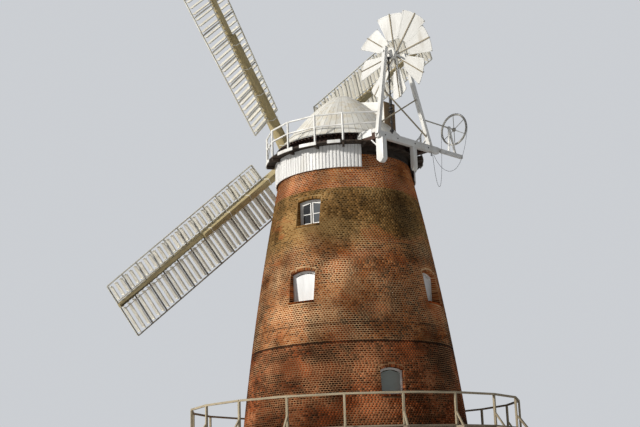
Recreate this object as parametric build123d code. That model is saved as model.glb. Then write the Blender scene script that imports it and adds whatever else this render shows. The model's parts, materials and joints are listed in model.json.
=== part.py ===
"""Round brick tower windmill with a stage, a turning cap, four shuttered sails and a fantail.

Millimetres, +Z up. The origin is on the ground at the tower's centre, and the sails face -Y.
"""

import math
import os

from build123d import *

# Brick tower
tower_height = 14100
tower_base_radius = 4590
tower_middle_radius = 3838
tower_top_radius = 2580
wall_base_thickness = 600
wall_middle_thickness = 560
wall_top_thickness = 450
wall_joint_azimuths = (-14, 42, 85, 123, 166, 222, 265, 303, 346)

# Floors inside the tower, by the height of their boards
ground_floor_thickness = 120
floor_heights = (3780, 7400, 10400)
floor_thickness = 60
floor_joist_depth = 180
floor_joist_width = 90
floor_joist_pitch = 900

# Windows and doors: sill height, width, height, rise of the arch
window_setback = 150
seat_gap = 0.3
window_frame_width = 75
window_frame_depth = 90
window_board_thickness = 35
glass_thickness = 8
ground_window = (1500, 880, 950, 90)
stage_window = (4950, 880, 950, 110)
middle_window = (8440, 1050, 1160, 110)
top_window = (11380, 1000, 1020, 60)
ground_window_azimuths = (14, 194)
stage_window_azimuths = (63.5, 243.5)
middle_window_azimuths = (14, 104, 194, 284)
top_window_azimuths = (15, 195)
ground_door = (ground_floor_thickness, 1200, 2200, 180)
ground_door_azimuths = (63.5, 243.5)
stage_door = (floor_heights[0], 900, 2000, 120)
stage_door_azimuths = (144.5,)

# Stage around the tower
stage_sides = 20
stage_first_corner = 4.6
stage_radius = 6190
stage_deck_thickness = 50
stage_height = floor_heights[0]
joist_depth = 200
joist_width = 100
joist_reach = 6620
strut_size = 120
strut_foot_height = 1900
strut_head_radius = 5450
rail_height = 1080
rail_size = 70
post_size = 75
raker_size = 55
raker_head_height = 430
raker_foot_inset = 60

# Curb and cap frame
curb_inner_radius = 2230
curb_outer_radius = 2540
curb_height = 100
skid_gap = 0.3
skid_thickness = 30
skid_count = 12
skid_length = 300
cap_ring_depth = 200
gallery_inner_radius = 2300
gallery_radius = 3150
gallery_deck_thickness = 55
gallery_front_azimuth = -46
gallery_rear_azimuth = 62
sheer_spacing = 2700
sheer_width = 230
sheer_depth = 260
sheer_front = -2250
cross_beam_width = 260
neck_beam_y = -1900
tail_beam_y = 900

# Skirt below the gallery
skirt_room = 250
skirt_thickness = 25
skirt_depth = 890
skirt_rear_azimuth = 57

# Domed roof of the cap, as radius and height above the eave of its outer line
eave_above_wall = 800
dome_points = ((2750, 0), (2230, 580), (1350, 1570), (1000, 1890), (600, 2200), (0, 2480))
dome_shell = 50
drum_radius = 2500
drum_thickness = 50
breast_width = 900
breast_height = 1150
breast_thickness = 60
hood_near_x = -300
hood_far_x = -950
hood_front = 300
hood_back = 1950
hood_front_height = 2180
hood_back_height = 1750

# Gallery rail of the cap
cap_post_radius = 3105
cap_post_azimuths = (-42, -21, 0, 23, 43)
cap_rail_height = 1100
cap_post_size = 60
cap_rail_size = 50
cap_mid_rail_height = 620

# Windshaft and sails
shaft_tilt = 12.5
shaft_above_wall = 722
shaft_radius = 190
shaft_tail = 1300
bearing_fit = 0.05
bearing_width = 220
bearing_wall = 90
sail_plane = 3280
stock_step = 300
stock_half_length = 5800
stock_root_size = 300
stock_end_size = 190
poll_size = 500
poll_cover = 70
sail_angle = 42.6
sail_radius = 10320
sail_heel = 1890
sail_bays = 11
whip_root_size = 240
whip_end_size = 150
wide_side = 1420
narrow_side = 857
heel_twist = 18.1
tip_twist = 4.5
sail_bar_size = 50
hemlath_size = 45
shutters_per_bay = 3
shutter_gap = 8
shutter_end_gap = 70
shutter_thickness = 12
shutter_tilt = 5

# Fantail and its posts
fan_y = 2950
fan_above_wall = 4130
fan_radius = 1775
fan_blades = 8
fan_blade_inner_radius = 650
fan_blade_half_angle = 17.6
fan_blade_root_width = 500
fan_blade_thickness = 18
fan_blade_pitch = 20.5
fan_first_spoke = 5.8
fan_spoke_size = 55
fan_hub_radius = 110
fan_hub_length = 240
fan_axle_radius = 45
fan_wheel_radius = 260
fan_wheel_width = 40
fan_wheel_x = 320
fan_pinion_radius = 75
fan_pinion_depth = 60
fan_shaft_radius = 30
running_gap = 8
post_head_x = 600
post_foot_x = 1500
post_foot_y = 3200
fan_post_size = 150
post_head_margin = 200
brace_size = 45
brace_foot_height = 300
bracket_width = 100
bracket_depth = 60

# Rear beam, hanging posts and chain wheel
rear_beam_width = 180
rear_beam_overhang = 430
arm_end_x = -3500
arm_width = 110
arm_depth = 150
pendant_places = ((1350, 230, 340), (-485, 210, 180))
pendant_length = 950
pendant_point = 130
fan_deck_thickness = 40
side_board_thickness = 35
side_board_height = 150
chain_wheel_x = -3200
chain_wheel_above_wall = 1700
chain_wheel_radius = 650
chain_rim_depth = 55
chain_rim_width = 60
chain_wheel_spokes = 6
chain_spoke_radius = 14
chain_shaft_radius = 28
chain_radius = 12
chain_clearance = 8
stand_x = -2880
stand_leg = 70
stand_spread = 200
hook_x = -1560
hook_drop = 345
hook_radius = 14
hook_end_length = 60
chain_rear_sag = 600
chain_front_sag = 1080
chain_points = 12
chain_straight_end = 120

skirt_radius = curb_outer_radius + skirt_room
eave_height = tower_height + eave_above_wall
shaft_height_at_centre = tower_height + shaft_above_wall
fan_height = tower_height + fan_above_wall
chain_wheel_height = tower_height + chain_wheel_above_wall

os.makedirs("parts", exist_ok=True)


def save(name, shape):
    """Write one named piece."""
    export_step(shape, f"parts/{name}.step")


def around(azimuth):
    """Turn about the tower's axis, from +X towards +Y."""
    return Rot(0, 0, azimuth)


def wall_line(foot, middle, top):
    """Foot, control and top radius of a wall line that bends evenly through its middle."""
    return foot, 2 * middle - (foot + top) / 2, top


def radius_at(line, z):
    """Radius of a wall line at a height."""
    t = z / tower_height
    return (1 - t) ** 2 * line[0] + 2 * t * (1 - t) * line[1] + t * t * line[2]


def beam(start, end, width, depth, end_width=None, end_depth=None, up=(0, 0, 1)):
    """Straight square-edged timber between two points, with its depth towards up."""
    a = Vector(*start)
    b = Vector(*end)
    along = b - a
    side = Vector(*up).cross(along)
    near = Plane(a, x_dir=side, z_dir=along)
    if end_width is None:
        return extrude(near * Rectangle(width, depth), along.length)
    far = Plane(b, x_dir=side, z_dir=along)
    return loft([near * Rectangle(width, depth), far * Rectangle(end_width, end_depth)])


def rod(start, end, radius):
    """Round bar between two points."""
    a = Vector(*start)
    along = Vector(*end) - a
    return extrude(Plane(a, z_dir=along) * Circle(radius), along.length)


def ring(inner, outer, bottom, top):
    """Flat ring about the tower's axis."""
    return Pos(0, 0, bottom) * extrude(Circle(outer) - Circle(inner), top - bottom)


def sector(inner, outer, bottom, top, start, end):
    """Part of a flat ring between two azimuths."""
    face = Plane.XZ * Pos((inner + outer) / 2, (bottom + top) / 2) * Rectangle(outer - inner, top - bottom)
    return around(start) * revolve(face, Axis.Z, revolution_arc=end - start)


outer_line = wall_line(tower_base_radius, tower_middle_radius, tower_top_radius)
inner_line = wall_line(
    tower_base_radius - wall_base_thickness,
    tower_middle_radius - wall_middle_thickness,
    tower_top_radius - wall_top_thickness,
)


def wall_curve(line):
    """Side line of the tower, from the ground to the top."""
    return Bezier((line[0], 0), (line[1], tower_height / 2), (line[2], tower_height))


def turned(line):
    """Solid inside a wall line."""
    side = wall_curve(line)
    top = Line(side @ 1, (0, tower_height))
    axis = Line((0, tower_height), (0, 0))
    foot = Line((0, 0), side @ 0)
    return revolve(Plane.XZ * make_face(side + top + axis + foot), Axis.Z)


tower_body = around(90) * turned(outer_line)


def arched(opening):
    """Outline of an opening with a segmental head, standing on its sill."""
    sill, width, height, rise = opening
    spring = height - rise
    foot = Line((-width / 2, 0), (width / 2, 0))
    right = Line((width / 2, 0), (width / 2, spring))
    head = ThreePointArc((width / 2, spring), (0, height), (-width / 2, spring))
    left = Line((-width / 2, spring), (-width / 2, 0))
    return make_face(foot + right + head + left)


def opening_block(opening, azimuth, near, far):
    """Opening's outline run from one radius to another."""
    plane = Plane((near, 0, opening[0]), x_dir=(0, 1, 0), z_dir=(1, 0, 0))
    return around(azimuth) * extrude(plane * arched(opening), far - near)


all_openings = (
    [(ground_window, a) for a in ground_window_azimuths]
    + [(stage_window, a) for a in stage_window_azimuths]
    + [(middle_window, a) for a in middle_window_azimuths]
    + [(top_window, a) for a in top_window_azimuths]
    + [(ground_door, a) for a in ground_door_azimuths]
    + [(stage_door, a) for a in stage_door_azimuths]
)


def tower_walls():
    """Curved lengths of wall with the openings cut through them."""
    outer = wall_curve(outer_line)
    inner = wall_curve(inner_line)
    top = Line(outer @ 1, inner @ 1)
    foot = Line(inner @ 0, outer @ 0)
    profile = Plane.XZ * make_face(outer + top + inner + foot)
    for number, (start, end) in enumerate(zip(wall_joint_azimuths, wall_joint_azimuths[1:]), 1):
        wall = around(start) * revolve(profile, Axis.Z, revolution_arc=end - start)
        for opening, azimuth in all_openings:
            if start <= azimuth < end or start <= azimuth - 360 < end:
                wall -= opening_block(opening, azimuth, curb_inner_radius / 2, joist_reach)
        save(f"tower_wall_{number}", wall)


def disc(radius, bottom, thickness):
    """Round slab about the tower's axis."""
    return Pos(0, 0, bottom) * Cylinder(radius, thickness, align=(Align.CENTER, Align.CENTER, Align.MIN))


def floors():
    """Ground floor and the boarded floors on their joists."""
    ground_radius = radius_at(inner_line, ground_floor_thickness) - seat_gap
    save("ground_floor", disc(ground_radius, 0, ground_floor_thickness))
    decks = []
    for height in floor_heights:
        radius = radius_at(inner_line, height) - seat_gap
        bottom = height - floor_thickness
        round_space = disc(radius, bottom - floor_joist_depth, floor_joist_depth)
        deck = disc(radius, bottom, floor_thickness)
        count = int(radius / floor_joist_pitch)
        for place in range(-count, count + 1):
            joist = Pos(place * floor_joist_pitch, 0, bottom) * Box(
                floor_joist_width, 2 * radius, floor_joist_depth,
                align=(Align.CENTER, Align.CENTER, Align.MAX))
            deck += joist & round_space
        decks.append(deck)
    save("upper_floors", Compound(children=decks))


def window_plane_radius(opening):
    """Radius of a window's outer face, just inside the wall at its head."""
    sill, width, height, rise = opening
    head = radius_at(outer_line, sill + height)
    return math.sqrt(head * head - width * width / 4) - window_setback


def frame_outline(opening):
    """Opening's outline less its frame."""
    sill, width, height, rise = opening
    inset = window_frame_width
    return (sill + inset, width - 2 * inset, height - 2 * inset, rise)


def windows():
    """Window frames, boarded leaves and glass, and the doors."""
    frames = []
    boards = []
    glass = []
    doors = []
    groups = (
        (ground_window, ground_window_azimuths, boards, window_board_thickness),
        (stage_window, stage_window_azimuths, boards, window_board_thickness),
        (middle_window, middle_window_azimuths, boards, window_board_thickness),
        (top_window, top_window_azimuths, glass, glass_thickness),
        (ground_door, ground_door_azimuths, doors, window_board_thickness),
        (stage_door, stage_door_azimuths, doors, window_board_thickness),
    )
    for opening, azimuths, leaves, thickness in groups:
        far = window_plane_radius(opening)
        near = far - window_frame_depth
        middle = (near + far) / 2
        inner = frame_outline(opening)
        for azimuth in azimuths:
            hole = opening_block(inner, azimuth, near, far)
            frames.append(opening_block(opening, azimuth, near, far) - hole)
            leaves.append(opening_block(inner, azimuth, middle - thickness / 2, middle + thickness / 2))
    save("window_and_door_frames", Compound(children=frames))
    save("window_boards", Compound(children=boards))
    save("window_glass", Compound(children=glass))
    save("doors", Compound(children=doors))


corner_azimuths = [stage_first_corner + k * 360 / stage_sides for k in range(stage_sides)]


def stage():
    """Boarded stage on radial joists and raking struts."""
    deck_bottom = stage_height - stage_deck_thickness
    joist_bottom = deck_bottom - joist_depth
    edge = RegularPolygon(stage_radius + post_size / 2, stage_sides)
    hole = Circle(radius_at(outer_line, deck_bottom) + seat_gap)
    save("stage_deck", Pos(0, 0, deck_bottom) * around(stage_first_corner) * extrude(
        edge - hole, stage_deck_thickness))
    joists = []
    struts = []
    wall = radius_at(outer_line, joist_bottom)
    foot = radius_at(outer_line, strut_foot_height)
    for azimuth in corner_azimuths:
        middle = deck_bottom - joist_depth / 2
        joist = beam((wall - joist_depth, 0, middle), (joist_reach, 0, middle), joist_width, joist_depth)
        joists.append(around(azimuth) * (joist - tower_body))
        strut = beam(
            (foot - strut_size, 0, strut_foot_height), (strut_head_radius, 0, joist_bottom + strut_size),
            strut_size, strut_size)
        below = Box(2 * joist_reach, joist_reach, joist_bottom, align=(Align.CENTER, Align.CENTER, Align.MIN))
        struts.append(around(azimuth) * ((strut & below) - tower_body))
    save("stage_joists", Compound(children=joists))
    save("stage_struts", Compound(children=struts))


def polar(radius, azimuth, z):
    """Point at a radius and an azimuth."""
    a = math.radians(azimuth)
    return (radius * math.cos(a), radius * math.sin(a), z)


def rail_post(top):
    """Post of the stage rail, on the deck at azimuth 0."""
    return beam((stage_radius, 0, stage_height), (stage_radius, 0, top), post_size, post_size, up=(0, 1, 0))


def rail_raker():
    """Raking prop from a rail post out to the end of its joist."""
    deck_bottom = stage_height - stage_deck_thickness
    raker = beam((stage_radius, 0, stage_height + raker_head_height),
                 (joist_reach - raker_foot_inset, 0, deck_bottom - raker_size), raker_size, raker_size)
    space = Pos(stage_radius, 0, deck_bottom) * Box(
        joist_reach, joist_reach, 2 * rail_height, align=(Align.MIN, Align.CENTER, Align.MIN))
    return raker & space


def stage_rails():
    """Four quarters of the stage rail, each with its posts and rakers."""
    quarter = stage_sides // 4
    end_inset = rail_size / 2 * math.tan(math.pi / stage_sides) + seat_gap / 2
    rail_middle = stage_height + rail_height - rail_size / 2
    post_top = stage_height + rail_height - rail_size
    for number in range(4):
        rail = []
        for k in range(quarter * number, quarter * (number + 1)):
            here = corner_azimuths[k]
            there = here + 360 / stage_sides
            a = Vector(*polar(stage_radius, here, rail_middle))
            b = Vector(*polar(stage_radius, there, rail_middle))
            along = (b - a).normalized()
            first = a + along * end_inset if k == quarter * number else a - along * end_inset
            last = b - along * end_inset if k == quarter * (number + 1) - 1 else b
            rail.append(beam(tuple(first), tuple(last), rail_size, rail_size))
            rail.append(around(here) * (rail_post(post_top) + rail_raker()))
        whole = Part() + rail
        save(f"stage_rail_{number + 1}", whole)


curb_top = tower_height + curb_height
cap_ring_bottom = curb_top + skid_gap + skid_thickness
cap_ring_top = cap_ring_bottom + cap_ring_depth
gallery_top = cap_ring_top + gallery_deck_thickness
sheer_top = gallery_top + sheer_depth
tilt = math.radians(shaft_tilt)
shaft_out = Vector(0, -math.cos(tilt), math.sin(tilt))
shaft_up = Vector(0, math.sin(tilt), math.cos(tilt))
shaft_origin = Vector(0, 0, shaft_height_at_centre)


def along_shaft(distance):
    """Point on the windshaft's axis, counted out towards the sails."""
    return shaft_origin + shaft_out * distance


def shaft_plane(distance):
    """Plane across the windshaft, with its y axis up."""
    return Plane(along_shaft(distance), x_dir=(-1, 0, 0), z_dir=shaft_out)


def shaft_bar(start, end, radius):
    """Round length on the windshaft's axis."""
    return extrude(shaft_plane(start) * Circle(radius), end - start)


def dome_solid(scale):
    """Solid under the dome's line, scaled about the middle of the eave."""
    points = [(r * scale, eave_height + z * scale) for r, z in dome_points]
    line = Spline(*points)
    axis = Line(points[-1], (0, eave_height))
    foot = Line((0, eave_height), points[0])
    return revolve(Plane.XZ * make_face(line + axis + foot), Axis.Z)


dome_outer = dome_solid(1)
dome_inner = dome_solid(1 - dome_shell / dome_points[0][0])
dome_seat = dome_solid(1 - (dome_shell + seat_gap) / dome_points[0][0])
breast_y = -(drum_radius - breast_thickness)
breast_bottom = gallery_top
breast_box = Pos(0, breast_y, breast_bottom) * Box(
    breast_width, drum_radius, breast_height, align=(Align.CENTER, Align.CENTER, Align.MIN))


def sheers():
    """Two long timbers of the cap, and the beams across them."""
    middle = gallery_top + sheer_depth / 2
    rear = post_foot_y - rear_beam_width / 2
    pair = [beam((s * sheer_spacing / 2, sheer_front, middle), (s * sheer_spacing / 2, rear, middle),
                 sheer_width, sheer_depth) for s in (-1, 1)]
    save("cap_sheers", Compound(children=pair))
    inside = sheer_spacing / 2 - sheer_width / 2
    across = []
    for y in (neck_beam_y, tail_beam_y):
        across.append(Pos(0, y, gallery_top) * Box(
            2 * inside, cross_beam_width, sheer_depth, align=(Align.CENTER, Align.CENTER, Align.MIN)))
    beams = [piece - shaft_bar(-2 * shaft_tail, sail_plane, shaft_radius + bearing_wall) for piece in across]
    save("cap_cross_beams", Compound(children=beams))
    return pair


def cap_base():
    """Curb on the wall, and the cap's ring that slides on it."""
    save("curb", ring(curb_inner_radius, curb_outer_radius, tower_height, curb_top))
    base = ring(curb_inner_radius, curb_outer_radius, cap_ring_bottom, cap_ring_top)
    skid_angle = math.degrees(skid_length / curb_outer_radius)
    for k in range(skid_count):
        start = k * 360 / skid_count - skid_angle / 2
        base += sector(curb_inner_radius, curb_outer_radius, cap_ring_bottom - skid_thickness,
                       cap_ring_bottom, start, start + skid_angle)
    save("cap_ring", base)


def gallery():
    """Cap gallery deck, skirt and rails."""
    deck = ring(gallery_inner_radius, skirt_radius, cap_ring_top, gallery_top)
    for start in (gallery_front_azimuth, 180 - gallery_rear_azimuth):
        deck += sector(gallery_inner_radius, gallery_radius, cap_ring_top, gallery_top,
                       start, start + gallery_rear_azimuth - gallery_front_azimuth)
    save("cap_gallery_deck", deck)
    sweep_angle = 180 + 2 * skirt_rear_azimuth
    skirt = sector(skirt_radius - skirt_thickness, skirt_radius, cap_ring_top - skirt_depth, cap_ring_top,
                   skirt_rear_azimuth - sweep_angle, skirt_rear_azimuth)
    save("cap_skirt", skirt)


def post_point(side, z):
    """Centre of a fan post at a height."""
    share = (z - sheer_top) / (fan_height - sheer_top)
    return (side * (post_foot_x + (post_head_x - post_foot_x) * share),
            post_foot_y + (fan_y - post_foot_y) * share, z)


def fan_post(side):
    """One leaning fan post with the bore for the axle."""
    foot = post_point(side, sheer_top - fan_post_size)
    head = post_point(side, fan_height + post_head_margin)
    return beam(foot, head, fan_post_size, fan_post_size, up=(0, 1, 0))


def gallery_rails(posts):
    """Rails on the right and left of the cap."""
    for name, side in (("right", 1), ("left", -1)):
        corners = [polar(cap_post_radius, a, 0) for a in cap_post_azimuths]
        whole = Part()
        for x, y, z in corners:
            head = (x, y, gallery_top + cap_rail_height)
            whole += beam((x, y, gallery_top), head, cap_post_size, cap_post_size, up=(0, 1, 0))
        for height in (cap_rail_height - cap_rail_size / 2, cap_mid_rail_height):
            z = gallery_top + height
            end = post_point(1, z)
            line = [(x, y, z) for x, y, _ in corners] + [(end[0], end[1], z)]
            for a, b in zip(line, line[1:]):
                whole += beam(a, b, cap_rail_size, cap_rail_size)
        (x0, y0, _), (x1, y1, _) = corners[0], corners[1]
        low = gallery_top + cap_rail_size
        high = gallery_top + cap_rail_height - cap_rail_size
        whole += beam((x0, y0, low), (x1, y1, high), cap_rail_size / 2, cap_rail_size / 2)
        whole += beam((x0, y0, high), (x1, y1, low), cap_rail_size / 2, cap_rail_size / 2)
        if side < 0:
            whole = mirror(whole, about=Plane.YZ)
        save(f"cap_rail_{name}", whole - posts[side])


def cap_roof(pair):
    """Drum, dome, breast boards and rear hood."""
    shaft_hole = shaft_bar(0, sail_plane, shaft_radius + 4 * running_gap)
    tall = ring(drum_radius - drum_thickness, drum_radius, gallery_top, gallery_top + breast_height)
    under = dome_seat + disc(drum_radius + drum_thickness, 0, eave_height)
    drum = (tall & under) - breast_box
    for sheer in pair:
        drum -= sheer
    save("cap_drum", drum)
    hood_line = Polyline(
        (hood_front, sheer_top), (hood_front, eave_height + hood_front_height),
        (hood_back, eave_height + hood_back_height), (hood_back, sheer_top), close=True)
    hood = Pos(hood_far_x, 0, 0) * extrude(Plane.YZ * make_face(hood_line), hood_near_x - hood_far_x)
    filled_drum = disc(drum_radius, 0, eave_height + breast_height)
    hood = hood - dome_outer - (filled_drum & under)
    save("rear_hood", hood)
    save("cap_dome", dome_outer - dome_inner - breast_box)
    board = Pos(0, breast_y + breast_thickness, breast_bottom) * Box(
        breast_width, breast_thickness, breast_height, align=(Align.CENTER, Align.CENTER, Align.MIN))
    save("breast_boards", board - shaft_hole)


def bearings():
    """Neck and tail bearings on the cross beams."""
    blocks = []
    for y in (neck_beam_y, tail_beam_y):
        distance = -y / math.cos(tilt)
        half = bearing_width / 2
        block = shaft_bar(distance - half, distance + half, shaft_radius + bearing_wall)
        rise = along_shaft(distance).Z - sheer_top
        if rise > 0:
            block += Pos(0, y, sheer_top) * Box(
                2 * shaft_radius, bearing_width, rise, align=(Align.CENTER, Align.CENTER, Align.MIN))
        blocks.append(block - shaft_bar(distance - bearing_width, distance + bearing_width,
                                        shaft_radius + bearing_fit))
    save("shaft_bearings", Compound(children=blocks))


def stock_place(offset):
    """Distance of a stock's centre at the shaft, behind the whips that it carries."""
    return sail_plane + offset - (stock_root_size + whip_root_size) / 2


def windshaft():
    """Windshaft, poll end and the two stocks through it."""
    stocks = []
    front_to_end = shaft_out * (stock_root_size - stock_end_size) / 2
    places = ((sail_angle + 90, stock_step / 2), (sail_angle, -stock_step / 2))
    for number, (angle, offset) in enumerate(places, 1):
        centre = along_shaft(stock_place(offset))
        a = math.radians(angle)
        along = Vector(-1, 0, 0) * math.cos(a) + shaft_up * math.sin(a)
        sections = []
        for s, size in ((-1, stock_end_size), (0, stock_root_size), (1, stock_end_size)):
            place = centre + along * s * stock_half_length + front_to_end * abs(s)
            section = Plane(place, x_dir=shaft_out.cross(along), z_dir=along)
            sections.append(section * Rectangle(size, size))
        stock = loft(sections, ruled=True)
        stocks.append(stock)
        save(f"sail_stock_{number}", stock)
    back = stock_place(-stock_step / 2) - stock_root_size / 2 - poll_cover
    save("windshaft", shaft_bar(-shaft_tail, back, shaft_radius))
    end = stock_place(stock_step / 2) + stock_root_size / 2 + poll_cover
    poll = extrude(shaft_plane(back) * Rot(0, 0, sail_angle) * Rectangle(poll_size, poll_size), end - back)
    save("poll_end", poll - stocks[0] - stocks[1])


def sail_frame_axes(angle, offset):
    """Origin and directions of one sail: along it, across it and out of its face."""
    a = math.radians(angle)
    along = Vector(-1, 0, 0) * math.cos(a) + shaft_up * math.sin(a)
    across = Vector(-1, 0, 0) * -math.sin(a) + shaft_up * math.cos(a)
    return along_shaft(sail_plane + offset), along, across


def sail_point(axes, r, s):
    """Point of a sail at a radius and a distance across, on its twisted face."""
    origin, along, across = axes
    share = (r - sail_heel) / (sail_radius - sail_heel)
    twist = math.radians(heel_twist + (tip_twist - heel_twist) * share)
    return origin + along * r + across * s * math.cos(twist) - shaft_out * s * math.sin(twist)


def sail_shutter(axes, r, near, far, width):
    """One shutter, standing open between two places across the sail."""
    tilt_back = math.radians(shutter_tilt)
    up = shaft_out * math.cos(tilt_back) + axes[1] * math.sin(tilt_back)
    ends = [tuple(sail_point(axes, r, s)) for s in (near, far)]
    return beam(*ends, width, shutter_thickness, up=tuple(up))


def sails():
    """Four sails: whip, sail bars and hemlaths, and their shutters."""
    pitch = (sail_radius - sail_heel) / sail_bays
    leaf = pitch / shutters_per_bay
    shutter_width = leaf - sail_bar_size - shutter_gap
    whip_back = shaft_out * (whip_end_size - whip_root_size) / 2
    shutters = []
    for number in range(4):
        offset = -stock_step / 2 if number % 2 == 0 else stock_step / 2
        axes = sail_frame_axes(sail_angle + 90 * number, offset)
        start = sail_point(axes, poll_size, 0)
        tip = sail_point(axes, sail_radius + sail_bar_size / 2, 0) + whip_back
        frame = beam(tuple(start), tuple(tip), whip_root_size, whip_root_size, whip_end_size, whip_end_size,
                     up=tuple(shaft_out))
        bars = []
        for k in range(sail_bays + 1):
            ends = [tuple(sail_point(axes, sail_heel + k * pitch, s)) for s in (-narrow_side, wide_side)]
            bars.append(beam(*ends, sail_bar_size, sail_bar_size, up=tuple(shaft_out)))
        for s in (-narrow_side, wide_side):
            for k in range(sail_bays):
                ends = [tuple(sail_point(axes, sail_heel + j * pitch, s)) for j in (k, k + 1)]
                bars.append(beam(*ends, hemlath_size, hemlath_size, up=tuple(shaft_out)))
        save(f"sail_frame_{number + 1}", frame + bars)
        near = whip_root_size / 2 + shutter_end_gap
        outer = hemlath_size / 2 + shutter_end_gap
        for k in range(sail_bays * shutters_per_bay):
            r = sail_heel + (k + 0.5) * leaf
            for ends in ((-narrow_side + outer, -near), (near, wide_side - outer)):
                shutters.append(sail_shutter(axes, r, *ends, shutter_width))
    save("sail_shutters", Compound(children=shutters))


def fan_blade():
    """One flat blade along +Y with its outer edge on the fan's circle."""
    half = math.radians(fan_blade_half_angle)
    near = (fan_radius * math.cos(half), -fan_radius * math.sin(half))
    far = (near[0], -near[1])
    root_near = (fan_blade_inner_radius, -fan_blade_root_width / 2)
    root_far = (fan_blade_inner_radius, fan_blade_root_width / 2)
    tip = ThreePointArc(near, (fan_radius, 0), far)
    outline = Line(root_near, near) + tip + Line(far, root_far) + Line(root_far, root_near)
    plane = Plane((0, 0, 0), x_dir=(0, 1, 0), z_dir=(1, 0, 0))
    return extrude(plane * make_face(outline), fan_blade_thickness)


def fantail():
    """Fan axle with its bevel wheel, spokes and blades."""
    axle_end = post_head_x + fan_post_size
    axle = Pos(0, fan_y, fan_height) * Rot(0, 90, 0) * Cylinder(fan_axle_radius, 2 * axle_end)
    wheel = Pos(fan_wheel_x, fan_y, fan_height) * Rot(0, 90, 0) * (
        Cylinder(fan_wheel_radius, fan_wheel_width) - Cylinder(fan_axle_radius, fan_wheel_width))
    hub = Pos(0, fan_y, fan_height) * Rot(0, 90, 0) * Cylinder(fan_hub_radius, fan_hub_length)
    spokes = hub - axle
    blades = []
    for k in range(fan_blades):
        turn = Pos(0, fan_y, fan_height) * Rot(fan_first_spoke + k * 360 / fan_blades, 0, 0)
        spoke = beam((0, fan_axle_radius, 0), (0, fan_radius, 0), fan_spoke_size, fan_spoke_size)
        spokes += turn * spoke - axle
        blades.append(turn * (Rot(0, fan_blade_pitch, 0) * Pos(fan_spoke_size / 2, 0, 0) * fan_blade()))
    save("fan_axle", axle + wheel)
    save("fan_spokes", spokes - blades)
    save("fan_blades", Compound(children=blades))
    shaft_x = fan_wheel_x + fan_wheel_width / 2 + running_gap + fan_pinion_radius
    pinion_top = fan_height - fan_wheel_radius + fan_pinion_depth
    foot = sheer_top + fan_deck_thickness
    drive = Pos(shaft_x, fan_y, foot) * Cylinder(
        fan_shaft_radius, pinion_top - foot, align=(Align.CENTER, Align.CENTER, Align.MIN))
    drive += Pos(shaft_x, fan_y, pinion_top - fan_pinion_depth) * Cylinder(
        fan_pinion_radius, fan_pinion_depth, align=(Align.CENTER, Align.CENTER, Align.MIN))
    save("fan_drive_shaft", drive)


def fan_carriage(posts):
    """Fan posts, braces, rear beam, hanging posts and the fan stage."""
    bore = Pos(0, fan_y, fan_height) * Rot(0, 90, 0) * Cylinder(
        fan_axle_radius + bearing_fit, 4 * post_head_x)
    chain_bore = Pos(0, chain_wheel_y, chain_wheel_height) * Rot(0, 90, 0) * Cylinder(
        chain_shaft_radius + bearing_fit, -2 * chain_wheel_x)
    save("fan_posts", Compound(children=[posts[1] - bore, posts[-1] - bore - chain_bore]))
    low = sheer_top + brace_foot_height
    high = fan_height - fan_radius + fan_post_size
    braces = Part()
    for side in (-1, 1):
        braces += beam(post_point(side, low), post_point(-side, high), brace_size, brace_size)
    shaft_x = fan_wheel_x + fan_wheel_width / 2 + running_gap + fan_pinion_radius
    bracket_z = fan_height - fan_wheel_radius - 3 * fan_pinion_depth
    head = post_point(1, bracket_z)
    bracket = beam((shaft_x - 2 * fan_shaft_radius, fan_y, bracket_z), (head[0], fan_y, bracket_z),
                   bracket_width, bracket_depth)
    bracket -= Pos(shaft_x, fan_y, bracket_z) * Cylinder(fan_shaft_radius + bearing_fit, 4 * fan_shaft_radius)
    both = braces - posts[1] - posts[-1]
    save("fan_braces", Compound(children=[both, bracket - posts[1]]))
    middle = sheer_top - sheer_depth / 2
    end = post_foot_x + rear_beam_overhang
    near_end = post_foot_x + fan_post_size / 2
    rear = beam((-end, post_foot_y, middle), (near_end, post_foot_y, middle), rear_beam_width, sheer_depth)
    arm_middle = sheer_top - arm_depth / 2
    arm = beam((arm_end_x, post_foot_y, arm_middle), (-end, post_foot_y, arm_middle), arm_width, arm_depth)
    save("rear_beam", (rear + arm) - posts[1] - posts[-1])
    hanging = []
    top = sheer_top - sheer_depth
    for x, width, depth in pendant_places:
        side_line = Polyline(
            (post_foot_y - depth / 2, top), (post_foot_y - depth / 2, top - pendant_length + pendant_point),
            (post_foot_y - depth / 8, top - pendant_length), (post_foot_y + depth / 8, top - pendant_length),
            (post_foot_y + depth / 2, top - pendant_length + pendant_point), (post_foot_y + depth / 2, top),
            close=True)
        hanging.append(Pos(x, 0, 0) * extrude(Plane.YZ * make_face(side_line), width / 2, both=True))
    save("hanging_posts", Compound(children=hanging))
    front = drum_radius + 2 * drum_thickness
    back = post_foot_y - rear_beam_width / 2
    shaft_seat = Pos(shaft_x, fan_y, sheer_top + fan_deck_thickness) * Cylinder(
        2 * fan_shaft_radius, fan_deck_thickness, align=(Align.CENTER, Align.CENTER, Align.MIN))
    deck = Pos(0, back, sheer_top) * Box(
        sheer_spacing + sheer_width, back - front, fan_deck_thickness,
        align=(Align.CENTER, Align.MAX, Align.MIN))
    outside = (sheer_spacing + sheer_width) / 2
    board_x = outside - side_board_thickness / 2
    board_front = math.sqrt((drum_radius + drum_thickness) ** 2 - (outside - side_board_thickness) ** 2)
    for side in (-1, 1):
        deck += Pos(side * board_x, back, sheer_top) * Box(
            side_board_thickness, back - board_front, side_board_height,
            align=(Align.CENTER, Align.MAX, Align.MIN))
    save("fan_stage_deck", deck)
    save("shaft_seat", shaft_seat - Pos(shaft_x, fan_y, sheer_top + fan_deck_thickness) * Cylinder(
        fan_shaft_radius + bearing_fit, 4 * fan_deck_thickness))


chain_wheel_y = post_point(-1, chain_wheel_height)[1]


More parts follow.
